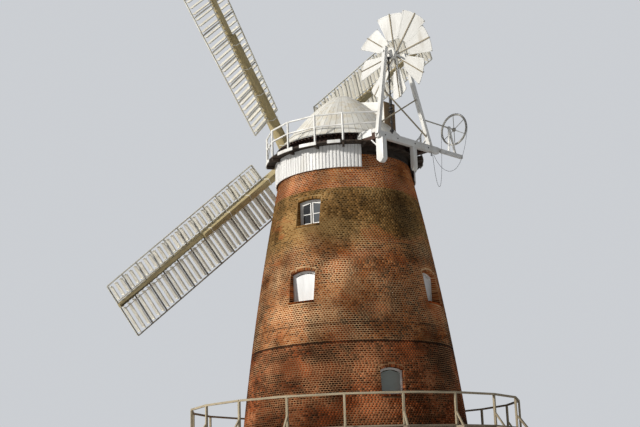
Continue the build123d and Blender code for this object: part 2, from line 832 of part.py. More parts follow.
def chain_gear():
    """Chain wheel, its shaft and stand, and the tied-up chain."""
    centre = Pos(chain_wheel_x, chain_wheel_y, chain_wheel_height) * Rot(0, 90, 0)
    rim = Cylinder(chain_wheel_radius, chain_rim_width) - Cylinder(
        chain_wheel_radius - chain_rim_depth, chain_rim_width)
    hub = Cylinder(3 * chain_shaft_radius, chain_rim_width)
    wheel = rim + hub
    for k in range(chain_wheel_spokes):
        a = 360 * k / chain_wheel_spokes
        spoke_end = (chain_wheel_radius - chain_rim_depth / 2, 0, 0)
        wheel += Rot(0, 0, a) * rod((2 * chain_shaft_radius, 0, 0), spoke_end, chain_spoke_radius)
    wheel = centre * wheel
    inner_end = post_point(-1, chain_wheel_height)[0]
    outer_end = chain_wheel_x - chain_rim_width
    shaft = rod((inner_end, chain_wheel_y, chain_wheel_height),
                (outer_end, chain_wheel_y, chain_wheel_height), chain_shaft_radius)
    save("chain_wheel", wheel + shaft)
    head = (stand_x, chain_wheel_y, chain_wheel_height)
    stand = Part()
    for s in (-1, 1):
        stand += beam((stand_x + s * stand_spread, post_foot_y, sheer_top), head, stand_leg, stand_leg)
    stand += Pos(*head) * Rot(0, 90, 0) * Cylinder(2.5 * chain_shaft_radius, stand_leg)
    stand -= Pos(*head) * Rot(0, 90, 0) * Cylinder(chain_shaft_radius + bearing_fit, 4 * stand_spread)
    floor = Pos(stand_x, post_foot_y, sheer_top) * Box(
        4 * stand_spread, 4 * stand_spread, 4 * stand_spread, align=(Align.CENTER, Align.CENTER, Align.MAX))
    save("chain_wheel_stand", stand - floor)


def hanging_points(a, b, low, count):
    """Points, evenly spaced along it, of a chain that hangs from a to b and dips to a height."""
    rises = (a.Z - low, b.Z - low)
    span = Vector(b.X - a.X, b.Y - a.Y, 0).length
    least, most = 1, span * span
    while most - least > seat_gap / 10:
        curve = (least + most) / 2
        reach = curve * sum(math.acosh(1 + rise / curve) for rise in rises)
        least, most = (curve, most) if reach < span else (least, curve)
    start = -math.acosh(1 + rises[0] / curve)
    end = math.acosh(1 + rises[1] / curve)
    points = []
    for k in range(1, count + 1):
        share = k / (count + 1)
        u = math.asinh(math.sinh(start) * (1 - share) + math.sinh(end) * share)
        across = (u - start) / (end - start)
        place = a + (b - a) * across
        points.append(Vector(place.X, place.Y, low + curve * (math.cosh(u) - 1)))
    return points


def bend_radii(points):
    """Largest even bends that a route's straight runs leave room for."""
    radii = []
    for before, here, after in zip(points, points[1:], points[2:]):
        half_turn = math.radians((here - before).get_angle(after - here) / 2)
        radii.append(0.45 * min((here - before).length, (after - here).length) / math.tan(half_turn))
    return radii


def chain():
    """Endless chain over the chain wheel, tied up at the hook, and the hook."""
    wheel_loop = chain_wheel_radius + chain_clearance + chain_radius
    hook_loop = hook_radius + seat_gap + chain_radius
    hook_z = sheer_top - hook_drop
    over_wheel = Pos(chain_wheel_x, chain_wheel_y, chain_wheel_height) * (
        Pos(0, wheel_loop, 0) * Circle(chain_radius))
    lengths = [revolve(over_wheel, Axis((chain_wheel_x, chain_wheel_y, chain_wheel_height), (1, 0, 0)), 180)]
    hook_plane = Plane((hook_x, post_foot_y, hook_z), x_dir=(0, 1, 0), z_dir=(1, 0, 0))
    at_hook = hook_plane * Pos(-hook_loop, 0) * Circle(chain_radius)
    lengths.append(revolve(at_hook, Axis((hook_x, post_foot_y, hook_z), (0, 0, 1)), 180))
    for side, sag in ((1, chain_rear_sag), (-1, chain_front_sag)):
        top = Vector(chain_wheel_x, chain_wheel_y + side * wheel_loop, chain_wheel_height)
        first = top - Vector(0, 0, chain_straight_end)
        end = Vector(hook_x, post_foot_y + side * hook_loop, hook_z)
        last = end - Vector(chain_straight_end, 0, 0)
        route = [top, first] + hanging_points(first, last, hook_z - sag, chain_points) + [last, end]
        path = FilletPolyline(*route, radius=bend_radii(route))
        lengths.append(sweep(Plane(top, z_dir=(0, 0, -1)) * Circle(chain_radius), path))
    save("chain", Compound(children=lengths))
    rod_length = hook_drop - sheer_depth + hook_end_length
    hook = Pos(hook_x, post_foot_y, sheer_top - sheer_depth) * Cylinder(
        hook_radius, rod_length, align=(Align.CENTER, Align.CENTER, Align.MAX))
    hook += Pos(hook_x, post_foot_y, hook_z - chain_radius - seat_gap) * Cylinder(
        2 * hook_radius, hook_radius, align=(Align.CENTER, Align.CENTER, Align.MAX))
    save("chain_hook", hook)


tower_walls()
floors()
windows()
stage()
stage_rails()
cap_base()
sheer_pair = sheers()
gallery()
beam_space = Pos(0, 0, sheer_top) * Box(
    4 * post_foot_x, 4 * post_foot_x, 2 * sheer_depth, align=(Align.CENTER, Align.CENTER, Align.MAX))
fan_post_pair = {side: fan_post(side) - beam_space for side in (-1, 1)}
gallery_rails(fan_post_pair)
cap_roof(sheer_pair)
bearings()
windshaft()
sails()
fantail()
fan_carriage(fan_post_pair)
chain_gear()
chain()
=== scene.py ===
"""Looks of the tower windmill: its brickwork, boards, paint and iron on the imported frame.

Metres, +Z up. The sails face -Y, and the camera stands low behind the mill, on its right.
"""
import json
from math import acosh, asin, asinh, ceil, cos, cosh, degrees, dist, pi, radians, sin, sinh, sqrt, tan

import bmesh
import bpy
import numpy as np
from mathutils import Matrix, Vector


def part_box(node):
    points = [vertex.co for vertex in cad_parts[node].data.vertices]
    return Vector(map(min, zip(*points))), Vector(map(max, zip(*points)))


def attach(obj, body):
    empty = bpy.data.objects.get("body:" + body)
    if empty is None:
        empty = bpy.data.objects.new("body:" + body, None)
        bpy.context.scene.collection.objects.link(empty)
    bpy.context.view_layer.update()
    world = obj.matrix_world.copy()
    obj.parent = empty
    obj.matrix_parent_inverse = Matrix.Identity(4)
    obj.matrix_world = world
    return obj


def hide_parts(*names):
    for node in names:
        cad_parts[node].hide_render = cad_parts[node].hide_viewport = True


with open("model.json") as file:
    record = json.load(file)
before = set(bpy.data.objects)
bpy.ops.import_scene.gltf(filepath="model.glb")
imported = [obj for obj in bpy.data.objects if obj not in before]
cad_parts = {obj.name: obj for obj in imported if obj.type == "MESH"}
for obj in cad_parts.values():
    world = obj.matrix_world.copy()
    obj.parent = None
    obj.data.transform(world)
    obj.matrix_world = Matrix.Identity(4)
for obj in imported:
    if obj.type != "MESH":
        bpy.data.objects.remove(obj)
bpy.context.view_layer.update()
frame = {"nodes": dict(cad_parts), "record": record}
random = np.random.default_rng(7)

# Camera
camera_place = Vector((30.730, 29.196, 1.65))
camera_heading = radians(-135.03)
camera_pitch = 0.25
camera_roll = -0.033
focal_pixels = 1101.35
photo_width = 640

# Brick tower
tower_height = 14.1
outer_line = (4.59, 4.091, 2.58)
course = 0.075
header = 0.12
joint = 0.015
brick_proud = 0.0025
brick_back = 0.012
brick_ease = 0.0025
brick_lap = 0.004
dark_brick_share = 0.14
dark_brick_tone = 0.16
window_setback = 0.15
arch_depth = 0.11
ledge_heights = (6.84, 7.52)
olive_heights = (9.9, 11.1)
band_height = 12.73
brickwork_bands = 8

# Openings: sill height, width, height, rise of the arch
ground_window = (1.5, 0.88, 0.95, 0.09)
stage_window = (4.95, 0.88, 0.95, 0.11)
middle_window = (8.44, 1.05, 1.16, 0.11)
top_window = (11.38, 1.0, 1.02, 0.06)
ground_door = (0.12, 1.2, 2.2, 0.18)
stage_door = (3.78, 0.9, 2.0, 0.12)

# Azimuth and form of each opening
boarded_places = (
    [(14, ground_window), (194, ground_window), (63.5, stage_window), (243.5, stage_window)]
    + [(a, middle_window) for a in (14, 104, 194, 284)])
glazed_places = [(15, top_window), (195, top_window)]
door_places = [(63.5, ground_door), (243.5, ground_door), (144.5, stage_door)]
opening_places = boarded_places + glazed_places + door_places
frame_width = 0.075
frame_depth = 0.09
leaf_gap = 0.004
leaf_thickness = 0.03
stile = 0.045

# Stage
stage_sides = 20
stage_first_corner = 4.6
stage_edge = 6.19 + 0.0375
stage_top = 3.78
stage_deck = 0.05
stage_board = 0.15

# Cap
cap_ring_top = 14.43
gallery_top = 14.485
gallery_radius = 3.15
gallery_spans = ((-46, 62), (118, 226))
gallery_inner_radius = 2.3
skirt_radius = 2.79
skirt_foot = 13.54
skirt_span = (-237, 57)
eave_height = 14.9
eave_radius = 2.75
drum_radius = 2.5
sheer_top = 14.745
sheer_half_width = 0.115
sheer_x = 1.35
breast_half_width = 0.45
breast_top = 15.635
skirt_board = 0.135
drum_board = 0.14
rafter_spacing = 0.165
dome_board = 0.288
dome_thickness = 0.05
dome_rings = 30
dome_groove = 0.012

# Sails
shaft_tilt = radians(12.5)
shaft_out = Vector((0, -cos(shaft_tilt), sin(shaft_tilt)))
shaft_up = Vector((0, sin(shaft_tilt), cos(shaft_tilt)))
shaft_origin = Vector((0, 0, 14.822))
sail_plane = 3.28
stock_step = 0.3
stock_length = 5.8
stock_half_depth = 0.15
stock_taper = 0.055
sail_angle = 42.6
sail_radius = 10.32
sail_heel = 1.89
sail_bays = 11
whip_root = 0.24
wide_side = 1.42
narrow_side = 0.857
hem_half_width = 0.0225
heel_twist = 18.1
tip_twist = 4.5
shutters_per_bay = 3
shutter_tilt = radians(5)
shutter_gap = 0.07

# Fantail and its drive
fan_centre = Vector((0, 2.95, 18.23))
fan_radius = 1.775
fan_inner_radius = 0.65
fan_half_angle = radians(17.6)
fan_root_width = 0.5
fan_pitch = radians(20.5)
fan_first_spoke = 5.8
fan_spoke = 0.055
fan_blade_thickness = 0.018
drive_x = 0.423

# Chain and its wheel
wheel_centre = Vector((-3.2, 3.124333, 15.8))
wheel_radius = 0.65
hook_centre = Vector((-1.56, 3.2, sheer_top - 0.345))
hook_radius = 0.014
link_pitch = 0.05
link_half_width = 0.0115
link_wire = 0.0045

# Colours of the bricks and the mortar in each zone of the tower, from the ground up
brick_colours = (
    ((0.1, (0.028, 0.009, 0.004)), (0.4, (0.1, 0.024, 0.007)), (0.65, (0.28, 0.064, 0.017)),
     (0.95, (0.44, 0.16, 0.07))),
    ((0.06, (0.038, 0.012, 0.004)), (0.35, (0.15, 0.037, 0.009)), (0.6, (0.34, 0.094, 0.021)),
     (0.95, (0.46, 0.2, 0.08))),
    ((0.1, (0.055, 0.028, 0.008)), (0.4, (0.165, 0.083, 0.022)), (0.65, (0.3, 0.155, 0.05)),
     (0.95, (0.4, 0.24, 0.09))),
    ((0.05, (0.12, 0.028, 0.006)), (0.4, (0.31, 0.07, 0.013)), (0.7, (0.47, 0.135, 0.022)),
     (1.0, (0.52, 0.24, 0.09))))
mortar_colours = (
    ((0.35, (0.13, 0.056, 0.028)), (0.65, (0.6, 0.33, 0.17))),
    ((0.35, (0.24, 0.11, 0.045)), (0.65, (0.88, 0.6, 0.34))),
    ((0.35, (0.2, 0.12, 0.05)), (0.65, (0.52, 0.35, 0.16))),
    ((0.35, (0.34, 0.18, 0.085)), (0.65, (0.66, 0.43, 0.26))))

looks = {}


def around(azimuth, radius, z):
    """Point at an azimuth in degrees."""
    return Vector((radius * cos(radians(azimuth)), radius * sin(radians(azimuth)), z))


def tower_radius(z):
    """Radius of the tower's face at a height."""
    t = z / tower_height
    return (1 - t) ** 2 * outer_line[0] + 2 * t * (1 - t) * outer_line[1] + t * t * outer_line[2]


# Materials


class Nodes:
    """The node tree of a material or a world."""

    def __init__(self, owner):
        owner.use_nodes = True
        self.tree = owner.node_tree

    def join(self, value, socket):
        if isinstance(value, bpy.types.NodeSocket):
            self.tree.links.new(value, socket)
        elif isinstance(value, tuple) and len(value) == 3 and socket.type == "RGBA":
            socket.default_value = (*value, 1)
        else:
            socket.default_value = value

    def node(self, kind, *inputs, output=0, **settings):
        node = self.tree.nodes.new(kind)
        for name, value in settings.items():
            setattr(node, name, value)
        for socket, value in zip(node.inputs, inputs):
            if value is not None:
                self.join(value, socket)
        return node.outputs[output]

    def sum(self, total, *values):
        for value in values:
            total = self.node("ShaderNodeMath", total, value, operation="ADD")
        return total


class Look(Nodes):
    """A material, written node by node."""

    def __init__(self, name, roughness, gloss=0.5):
        self.material = looks[name] = bpy.data.materials.new(name)
        super().__init__(self.material)
        self.shader = self.tree.nodes["Principled BSDF"].inputs
        self.join(roughness, self.shader["Roughness"])
        self.join(gloss, self.shader["Specular IOR Level"])
        self.place = self.node("ShaderNodeTexCoord", output="Object")

    def attribute(self, name, output="Fac"):
        return self.node("ShaderNodeAttribute", output=output, attribute_name=name)

    def times(self, a, b):
        return self.node("ShaderNodeMath", a, b, operation="MULTIPLY")

    def vector(self, operation, *inputs, output=0):
        return self.node("ShaderNodeVectorMath", *inputs, output=output, operation=operation)

    def noise(self, scale, detail=3.0, place=None):
        return self.node("ShaderNodeTexNoise", place or self.place, None, scale, detail)

    def step(self, value, low, high, start=0.0, end=1.0):
        """Smooth rise from start to end as a value goes from low to high."""
        return self.node("ShaderNodeMapRange", value, low, high, start, end, interpolation_type="SMOOTHSTEP")

    def ramp(self, value, *stops):
        colour = self.node("ShaderNodeValToRGB", value)
        elements = colour.node.color_ramp.elements
        while len(elements) < len(stops):
            elements.new(0.5)
        for element, (place, tint) in zip(elements, stops):
            element.position = place
            element.color = (*tint, 1)
        return colour

    def mix(self, share, low, high, kind="MIX"):
        return self.node("ShaderNodeMix", share, *[None] * 5, low, high, output=2, data_type="RGBA",
                         blend_type=kind)

    def shade(self, colour, value, low, high):
        """Colour made darker or lighter by a value from 0 to 1."""
        light = self.step(value, 0.0, 1.0, low, high)
        return self.mix(1.0, colour, self.node("ShaderNodeCombineXYZ", light, light, light), "MULTIPLY")

    def stain(self, colour, value, low, high, share, dirt):
        """Colour with a share of dirt where a value is high."""
        return self.mix(self.times(self.step(value, low, high), share), colour, dirt)

    def height(self):
        return self.node("ShaderNodeSeparateXYZ", self.place, output=2)

    def flat_place(self, across, upright):
        """Place squeezed so that noise runs in upright streaks or level patches."""
        return self.vector("MULTIPLY", self.place, (across, across, upright))

    def grain_place(self, stretch):
        """Place drawn out along the timber's grain."""
        grain = self.attribute("grain", "Vector")
        along = self.vector("DOT_PRODUCT", self.place, grain, output="Value")
        run = self.vector("SCALE", grain, None, None, self.times(along, 1 - 1 / stretch))
        return self.vector("SUBTRACT", self.place, run)

    def bump(self, height, distance, strength=1.0):
        bump = self.node("ShaderNodeBump", strength, distance)
        self.join(height, bump.node.inputs["Height"])
        self.join(bump, self.shader["Normal"])

    def finish(self, colour, roughness=None):
        self.join(colour, self.shader["Base Color"])
        if roughness is not None:
            self.join(roughness, self.shader["Roughness"])


def tower_colour(look, value, colours):
    """One ramp of colours per zone of the tower, with ragged borders and a dark line of painted shadow at
    each ledge.
    """
    low, middle, olive, top = (look.ramp(value, *stops) for stops in colours)
    height = look.height()
    ragged = look.sum(height, look.times(look.noise(0.55, 4.0), 1.6), -0.8)
    colour = look.mix(look.step(height, ledge_heights[0] - 0.02, ledge_heights[0] + 0.02), low, middle)
    colour = look.mix(look.step(ragged, *olive_heights), colour, olive)
    colour = look.mix(look.step(height, band_height - 0.02, band_height + 0.02), colour, top)
    # Painted shadow: a near-black line at each ledge height, standing in for the shade under the ledge
    for ledge, half, share in zip(ledge_heights, (0.045, 0.04), (0.85, 0.4)):
        off = look.node("ShaderNodeMath", look.sum(height, -ledge), operation="ABSOLUTE")
        colour = look.mix(look.step(off, half * 0.7, half, share, 0.0), colour, (0.02, 0.011, 0.008))
    return colour


def weathering(look):
    """Broad darker and lighter patches that bricks and mortar share."""
    return look.step(look.noise(0.42, 4.0, look.flat_place(1.0, 0.8)), 0.38, 0.6)


def brick_look():
    look = Look("brick", 0.9, 0.04)
    share = look.sum(look.times(look.attribute("tone"), 0.8), look.times(look.noise(0.75, 5.0), 1.9), -0.88)
    colour = tower_colour(look, share, brick_colours)
    flame = look.noise(1.1, 4.0, look.flat_place(0.55, 1.3))
    colour = look.stain(colour, flame, 0.55, 0.65, 0.5, (0.46, 0.105, 0.028))
    colour = look.shade(colour, weathering(look), 0.5, 1.12)
    grit = look.noise(55, 4.0)
    colour = look.shade(colour, grit, 0.72, 1.28)
    soot = look.noise(1.6, 5.0, look.flat_place(1.0, 0.35))
    colour = look.stain(colour, soot, 0.5, 0.72, 0.55, (0.028, 0.016, 0.008))
    look.bump(look.sum(grit, look.times(look.noise(160, 2.0), 0.5)), 0.003)
    look.finish(colour, look.step(grit, 0.2, 0.8, 0.82, 0.97))


def mortar_look():
    look = Look("mortar", 0.95, 0.04)
    grit = look.noise(120, 3.0)
    patch = look.noise(0.9, 5.0, look.flat_place(0.7, 1.2))
    colour = look.shade(tower_colour(look, patch, mortar_colours), grit, 0.7, 1.2)
    look.bump(grit, 0.003)
    look.finish(look.shade(colour, weathering(look), 0.6, 1.08))


def paint_look(name, clean, dirt, roughness, wear):
    """Old gloss paint on timber: fine brush grain, grime in runs and bare spots."""
    look = Look(name, roughness)
    grain = look.noise(38, 4.0, look.grain_place(18))
    grime = look.noise(2.2, 5.0, look.flat_place(1.0, 0.25))
    colour = look.shade(clean, look.attribute("tone"), 0.93, 1.05)
    colour = look.shade(colour, grain, 0.88, 1.08)
    colour = look.stain(colour, grime, 0.48, 0.75, wear, dirt)
    spots = look.noise(26, 5.0, look.grain_place(5))
    colour = look.stain(colour, spots, 0.66, 0.72, 0.55 * wear, (0.22, 0.18, 0.13))
    look.bump(grain, 0.0015)
    look.finish(colour, look.step(grime, 0.3, 0.7, roughness - 0.06, roughness + 0.2))


def timber_look(name, dark, light, roughness=0.8):
    """Bare or oiled timber with its grain along each piece."""
    look = Look(name, roughness, 0.25)
    grain = look.noise(45, 5.0, look.grain_place(25))
    broad = look.noise(7, 3.0, look.grain_place(12))
    tone = look.times(look.attribute("tone"), 0.3)
    share = look.sum(look.times(grain, 0.55), look.times(broad, 0.4), tone, -0.13)
    colour = look.ramp(share, (0.25, dark), (0.75, light))
    cracks = look.step(look.noise(60, 2.0, look.grain_place(40)), 0.62, 0.68)
    colour = look.mix(look.times(cracks, 0.6), colour, tuple(c * 0.35 for c in dark))
    look.bump(look.sum(grain, look.times(cracks, -0.6)), 0.003)
    look.finish(colour, look.step(grain, 0.3, 0.7, roughness - 0.1, roughness + 0.1))


def roof_look():
    """White roof covering: smooth where it is clean, with warm runs of grime and dark joints at tone -1."""
    look = Look("cap_covering", 0.55)
    tone = look.attribute("tone")
    runs = look.times(look.noise(5.0, 5.0, look.flat_place(1.0, 0.16)), 0.7)
    colour = look.shade((0.8, 0.79, 0.75), tone, 0.9, 1.05)
    grime = look.sum(runs, look.times(look.noise(0.7, 3.0), 0.4))
    colour = look.stain(colour, grime, 0.48, 0.72, 0.55, (0.62, 0.52, 0.34))
    colour = look.mix(look.step(tone, -0.6, -0.1, 0.55, 0.0), colour, (0.2, 0.16, 0.1))
    colour = look.stain(colour, look.noise(30, 4.0), 0.68, 0.74, 0.4, (0.3, 0.26, 0.2))
    look.bump(look.noise(60, 3.0), 0.0015)
    look.finish(colour)


def cloth_look():
    """White cloth shutters, painted over: a faint weave and warm stains."""
    look = Look("sail_white", 0.7)
    grime = look.noise(3.5, 5.0)
    colour = look.shade((0.86, 0.84, 0.77), look.attribute("tone"), 0.9, 1.05)
    look.bump(look.noise(240, 2.0), 0.001)
    colour = look.stain(colour, grime, 0.45, 0.75, 0.4, (0.58, 0.5, 0.36))
    look.finish(colour, look.step(grime, 0.3, 0.7, 0.6, 0.8))


def iron_look(name, base, rust, share):
    look = Look(name, 0.5, 0.3)
    blotch = look.noise(9, 5.0)
    fine = look.noise(90, 3.0)
    look.bump(fine, 0.001)
    colour = look.stain(look.shade(base, fine, 0.7, 1.35), blotch, 0.55, 0.75, share, rust)
    look.finish(colour, look.step(blotch, 0.4, 0.7, 0.5, 0.8))


def glass_look():
    look = Look("window_glass", 0.08)
    look.bump(look.noise(3.0, 2.0), 0.01, 0.3)
    # Pane colour by tone, near black to grey: the grey panes are a painted reflection
    look.finish(look.ramp(look.attribute("tone"), (0.2, (0.006, 0.007, 0.009)), (0.8, (0.09, 0.1, 0.11))))


def floor_tile_look():
    look = Look("floor_tiles", 0.85)
    colours = (0.3, 0.13, 0.08), (0.22, 0.1, 0.07), (0.3, 0.27, 0.22)
    tiles = look.node("ShaderNodeTexBrick", look.place, *colours, 1.0, 0.006, None, None, 0.23, 0.115)
    look.finish(look.shade(tiles, look.noise(30, 3.0), 0.75, 1.2))


def make_looks():
    brick_look()
    mortar_look()
    paint_look("white_paint", (0.83, 0.83, 0.82), (0.45, 0.41, 0.34), 0.42, 0.45)
    paint_look("white_boards", (0.88, 0.88, 0.88), (0.6, 0.55, 0.44), 0.45, 0.3)
    paint_look("white_panel", (0.82, 0.84, 0.87), (0.6, 0.6, 0.58), 0.4, 0.3)
    paint_look("sail_paint", (0.8, 0.78, 0.7), (0.42, 0.36, 0.25), 0.5, 0.6)
    paint_look("grey_panel", (0.33, 0.37, 0.35), (0.2, 0.2, 0.17), 0.55, 0.6)
    timber_look("timber", (0.16, 0.125, 0.09), (0.36, 0.3, 0.22))
    timber_look("rail_timber", (0.26, 0.21, 0.14), (0.58, 0.5, 0.36))
    timber_look("sail_timber", (0.36, 0.29, 0.15), (0.64, 0.54, 0.32), 0.6)
    timber_look("grey_timber", (0.2, 0.17, 0.12), (0.44, 0.38, 0.28), 0.7)
    # Near-black boards: painted shade for the drum and rafter feet under the eave and for the sheers
    timber_look("dark_boards", (0.02, 0.015, 0.013), (0.11, 0.055, 0.04), 0.7)
    # Near-black boards: painted shade for the gallery's underside and brackets, the curb and the cap ring
    timber_look("black_painted_shade_boards", (0.022, 0.017, 0.014), (0.085, 0.062, 0.046), 0.75)
    timber_look("brown_boards", (0.12, 0.078, 0.042), (0.29, 0.2, 0.115), 0.7)
    roof_look()
    cloth_look()
    iron_look("iron", (0.035, 0.035, 0.036), (0.14, 0.06, 0.03), 0.4)
    iron_look("grey_iron", (0.52, 0.51, 0.47), (0.3, 0.2, 0.13), 0.4)
    glass_look()
    floor_tile_look()


# Making meshes


def turns(count):
    """Angles that divide a full turn."""
    return [2 * pi * k / count for k in range(count)]


def pitch_round(radius, width, span=360):
    """Number and pitch in degrees of boards of about a width round a circle."""
    count = round(radians(span) * radius / width)
    return count, span / count


def lengths_along(points):
    return np.concatenate([[0], np.cumsum([dist(a, b) for a, b in zip(points, points[1:])])])


def even_points(points, count):
    """Points at equal steps along a line."""
    lengths = lengths_along(points)
    stations = np.linspace(0, lengths[-1], count)
    return np.stack([np.interp(stations, lengths, axis) for axis in zip(*points)], axis=1).tolist()


def column(items, name, width=1, kind=np.int64):
    """One property of all items, as an array."""
    values = np.empty(len(items) * width, kind)
    items.foreach_get(name, values)
    return values


def set_grain(mesh):
    """Store the direction of each face's longest edge, which is how its grain runs."""
    corners = column(mesh.loops, "vertex_index")
    places = column(mesh.vertices, "co", 3, float).reshape(-1, 3)
    starts = column(mesh.polygons, "loop_start")
    counts = column(mesh.polygons, "loop_total")
    following = np.arange(len(corners)) + 1
    following[starts + counts - 1] = starts
    sides = places[corners[following]] - places[corners]
    lengths = np.linalg.norm(sides, axis=1)
    order = np.lexsort((lengths, np.repeat(np.arange(len(starts)), counts)))
    longest = order[np.cumsum(counts) - 1]
    directions = sides[longest] / np.maximum(lengths[longest, None], 1e-9)
    mesh.attributes.new("grain", "FLOAT_VECTOR", "FACE").data.foreach_set("vector", directions.ravel())


def set_tone(mesh, tones):
    mesh.attributes.new("tone", "FLOAT", "FACE").data.foreach_set("value", np.asarray(tones, float))


def put(name, data):
    """A new object in the scene."""
    thing = bpy.data.objects.new(name, data)
    bpy.context.scene.collection.objects.link(thing)
    return thing


def make_object(name, mesh, look, body, slot, nodes=()):
    piece = put(name, mesh)
    mesh.materials.clear()
    mesh.materials.append(looks[look])
    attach(piece, body)
    if nodes:
        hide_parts(*nodes)
    return piece


def settle(work, mesh, name, *belongings, angle=30):
    """Turn a finished bmesh into a piece with its grain and its sharp edges."""
    work.to_mesh(mesh)
    work.free()
    set_grain(mesh)
    mesh.shade_smooth()
    mesh.set_sharp_from_angle(angle=radians(angle))
    return make_object(name, mesh, *belongings)


def bevel_edges(work, width, segments=1, angle=30):
    sharp = [e for e in work.edges if len(e.link_faces) == 2 and e.calc_face_angle(0) > radians(angle)]
    bmesh.ops.bevel(work, geom=sharp, offset=width, offset_type="OFFSET", segments=segments,
                    profile=0.5, affect="EDGES", clamp_overlap=True)


def circle(radius, sides, turn):
    """Points of a circle, turned into place."""
    return [turn @ Vector((radius * cos(a), radius * sin(a), 0)) for a in turns(sides)]


class Shape:
    """Closed solids gathered into one mesh, each with a tone of its own."""

    def __init__(self):
        self.points = []
        self.faces = []
        self.tones = []

    def loft(self, sections, closed=False, tone=None):
        """Solid through outlines with the same number of points."""
        n = len(sections[0])
        rings = len(sections)
        faces = [(j * n + k, j * n + (k + 1) % n, (j + 1) % rings * n + (k + 1) % n, (j + 1) % rings * n + k)
                 for j in range(rings if closed else rings - 1) for k in range(n)]
        if not closed:
            faces += [range(n)[::-1], range((rings - 1) * n, rings * n)]
        tone = random.random() if tone is None else tone
        first = len(self.points)
        self.points.extend(p for section in sections for p in section)
        self.faces.extend([first + i for i in face] for face in faces)
        self.tones.extend([tone] * len(faces))

    def slab(self, at, axis, ends, outline, tone=None):
        """Solid between two places on an axis of a frame, with its outline on the other two axes."""
        self.loft([[at(*p[:axis], end, *p[axis:]) for p in outline] for end in ends], tone=tone)

    def bar(self, a, b, width, depth, up=(0, 0, 1), tone=None):
        a, b = Vector(a), Vector(b)
        along = (b - a).normalized()
        side = Vector(up).cross(along).normalized()
        top = along.cross(side) * depth / 2
        side = side * width / 2
        corners = (-side - top, side - top, side + top, -side + top)
        self.loft([[end + c for c in corners] for end in (a, b)], tone=tone)

    def rod(self, a, b, radius, sides=12):
        a, b = Vector(a), Vector(b)
        ring = circle(radius, sides, (b - a).to_track_quat("Z", "Y"))
        self.loft([[end + c for c in ring] for end in (a, b)])

    def arc(self, near, far, low, high, start, end, steps=1):
        """Block between two radii, two heights and two azimuths."""
        self.loft([[around(a, near, low), around(a, far, low), around(a, far, high), around(a, near, high)]
                   for a in (start + (end - start) * k / steps for k in range(steps + 1))])

    def torus(self, centre, axis, radius, thickness, sides=24, rings=8):
        turn = axis.to_track_quat("Z", "Y")
        rim = [(radius + thickness * cos(a), turn @ Vector((0, 0, thickness * sin(a)))) for a in turns(rings)]
        self.loft([[centre + out * r + rise for r, rise in rim] for out in circle(1, sides, turn)],
                  closed=True)

    def object(self, name, look, body, slot, nodes=(), bevel=0.003, angle=30):
        mesh = bpy.data.meshes.new(name)
        mesh.from_pydata([tuple(p) for p in self.points], [], self.faces)
        set_tone(mesh, self.tones)
        work = bmesh.new()
        work.from_mesh(mesh)
        bmesh.ops.recalc_face_normals(work, faces=work.faces)
        if bevel:
            bevel_edges(work, bevel, angle=angle)
        settle(work, mesh, name, look, body, slot, nodes)


body_of_node = {n: body for body, nodes in frame["record"]["behaviour"]["bodies"].items() for n in nodes}
slot_of_node = {sub["node"]: sub["material_slot"] for sub in frame["record"]["subparts"]}


def dress(node, look, bevel=0.0, segments=1):
    """A copy of a node's mesh with its edges eased, its grain set and a tone for each timber."""
    mesh = frame["nodes"][node].data.copy()
    work = bmesh.new()
    work.from_mesh(mesh)
    bmesh.ops.remove_doubles(work, verts=work.verts, dist=1e-5)
    bmesh.ops.dissolve_limit(work, angle_limit=radians(1), verts=work.verts, edges=work.edges)
    tone_layer = work.faces.layers.float.new("tone")
    waiting = set(work.faces)
    while waiting:
        tone = random.random()
        front = {min(waiting, key=lambda f: f.index)}
        while front:
            waiting -= front
            for face in front:
                face[tone_layer] = tone
            front = {other for face in front for edge in face.edges for other in edge.link_faces} & waiting
    if bevel:
        bevel_edges(work, bevel, segments)
    return settle(work, mesh, node + "_dressed", look, body_of_node[node], slot_of_node[node], (node,))


# Brickwork


def bend_radius(half, rise):
    """Radius of an arch from its half width and its rise."""
    return (half * half + rise * rise) / (2 * rise)


def blocked_half_width(place, z):
    """Half the width that an opening, its sill and its arch take from a course at a height."""
    sill, width, height, rise = place
    if z < sill - course - 0.002 or z > sill + height + arch_depth:
        return 0.0
    if z <= sill + height - rise:
        return width / 2
    bend = bend_radius(width / 2, rise)
    reach = (bend + arch_depth) ** 2 - (z - sill - height + bend) ** 2
    return min((bend + arch_depth) * width / 2 / bend, sqrt(reach)) if reach > 0 else 0.0


def free_spans(low, high):
    """Azimuth spans in degrees that a course of bricks fills, and whether an opening cuts it."""
    radius = tower_radius((low + high) / 2)
    taken = []
    for azimuth, place in opening_places:
        half = max(blocked_half_width(place, z) for z in (low + 0.002, (low + high) / 2, high - 0.002))
        if half:
            reach = degrees(asin(half / radius))
            taken.append((azimuth - reach, azimuth + reach))
    if not taken:
        return [(0.0, 360.0)], False
    taken.sort()
    return [(end, start) for (_, end), (start, _) in zip(taken, taken[1:] + [(taken[0][0] + 360, 0)])], True


